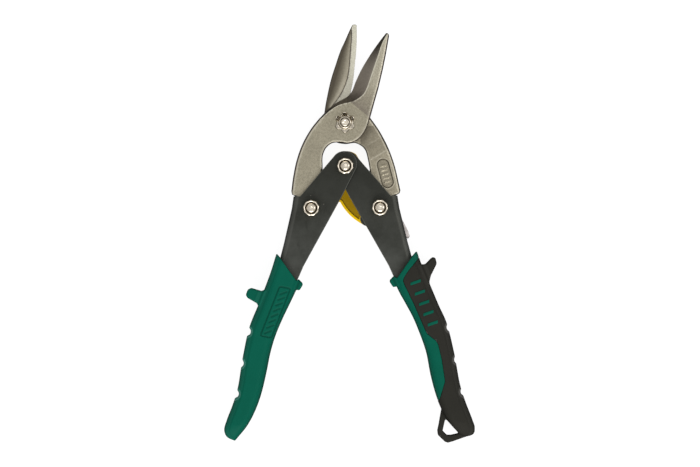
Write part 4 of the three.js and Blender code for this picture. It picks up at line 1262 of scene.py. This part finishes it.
def make_latch():
    leaf = softened(from_node("latch_lever"), 0.3, 3, 35)
    obj = piece("latch_leaf", leaf, "latch", YELLOW, "latch_lever")
    obj.data.materials.append(YELLOW_SHADED)
    # Painted shade: the recessed floor of the leaf takes the darker yellow copy.
    pocket_floor = (SHEAR - 8.4 - 0.8) / 1000
    for polygon in obj.data.polygons:
        if abs(polygon.center.z - pocket_floor) < 2e-4 and polygon.normal.z > 0.9:
            polygon.material_index = 1
    for name, node, body, material, slot, width, angle in (
            ("thumb_plate", "latch_thumb_plate", "latch", GREY, "grey_steel", 0.22, 35),
            ("latch_rivet_1_body", "latch_rivet_1", "latch", PLATED, "plated_steel", 0.12, 25),
            ("latch_rivet_2_body", "latch_rivet_2", "latch", PLATED, "plated_steel", 0.12, 25),
            ("latch_washer_body", "latch_washer", "right_handle", SPRING, "spring_steel", 0.1, 40),
            ("spring_sleeve_body", "spring_sleeve", "right_handle", GREY, "spring_steel", 0.1, 40)):
        piece(name, softened(from_node(node), width, 2, angle), body, material, node)


make_front_blade()
make_rear_blade()
make_lever("left_lever_body", "left_lever", "left_handle", False)
make_lever("right_lever_body", "right_lever", "right_handle", True)
make_left_grip()
make_right_grip()
make_fasteners()
make_main_pivot()
make_spring()
make_latch()


# ---- floor, light and camera ----
def make_stage():
    """Plain pale floor just below the object."""
    half = 3.0
    mesh = bpy.data.meshes.new("floor")
    corners = [(-half, -half, 0), (half, -half, 0), (half, half, 0), (-half, half, 0)]
    mesh.from_pydata(corners, [], [(0, 1, 2, 3)])
    floor = linked("floor", mesh)
    floor.location = (0, 0, -0.0006)
    floor.visible_glossy = False
    n = Nodes("pale_floor")
    n.set(Base_Color=(0.15, 0.15, 0.15), Roughness=0.9, Specular_IOR_Level=0.0, Emission_Color=(1, 1, 1),
          Emission_Strength=0.92)
    mesh.materials.append(n.material)


LIT_SPOT = (0, -0.06, 0)


def softbox(name, place, size, radiance):
    """A rectangular lamp; its power follows from its area and its brightness."""
    data = bpy.data.lights.new(name, "AREA")
    data.shape = "RECTANGLE"
    data.size, data.size_y = size
    data.energy = radiance * math.pi * size[0] * size[1]
    lamp = linked(name, data)
    lamp.location = place
    lamp.rotation_mode = "QUATERNION"
    lamp.rotation_quaternion = (Vector(LIT_SPOT) - Vector(place)).to_track_quat("-Z", "Y")


def make_world():
    """A white tent, darker towards the horizon and below it."""
    world = bpy.data.worlds.new("studio")
    bpy.context.scene.world = world
    world.use_nodes = True
    tree = world.node_tree
    background = tree.nodes["Background"]
    place, split, shades = (tree.nodes.new("ShaderNode" + kind)
                            for kind in ("TexCoord", "SeparateXYZ", "ValToRGB"))
    tree.links.new(place.outputs["Generated"], split.inputs["Vector"])
    tree.links.new(split.outputs["Z"], shades.inputs["Fac"])
    tree.links.new(shades.outputs["Color"], background.inputs["Color"])
    levels = [(0.0, 0.10), (0.10, 0.16), (0.28, 0.28), (0.48, 0.85), (0.66, 1.0), (0.82, 0.84), (1.0, 0.74)]
    stops = shades.color_ramp.elements
    while len(stops) < len(levels):
        stops.new(0.5)
    for stop, (height, level) in zip(stops, levels):
        stop.position = height
        stop.color = (level, level, level, 1)
    background.inputs["Strength"].default_value = 1.0
    bpy.context.scene.view_settings.view_transform = "Standard"


def make_camera():
    """Camera straight above, far off, with the picture's width given at the shearing plane."""
    sensor, away, picture_width = 36, 2.0, 0.4095
    data = bpy.data.cameras.new("camera")
    data.sensor_width = sensor
    data.lens = sensor * away / picture_width
    data.clip_start, data.clip_end = 0.1, 20
    camera = linked("camera", data)
    camera.location = (0.00244, -0.06478, SHEAR / 1000 + away)
    camera.rotation_euler = (0, 0, -0.008)
    bpy.context.scene.camera = camera


make_stage()
make_world()
softbox("right_side", (2.3, 0.2, 1.9), (1.0, 2.2), 2.2)
softbox("spot", (0.25, 0.45, 3.0), (0.45, 0.45), 2.5)
softbox("front", (0.1, -2.4, 1.9), (2.0, 1.2), 7.5)
softbox("back", (-1.1, 2.2, 2.1), (2.0, 1.0), 0.5)
make_camera()
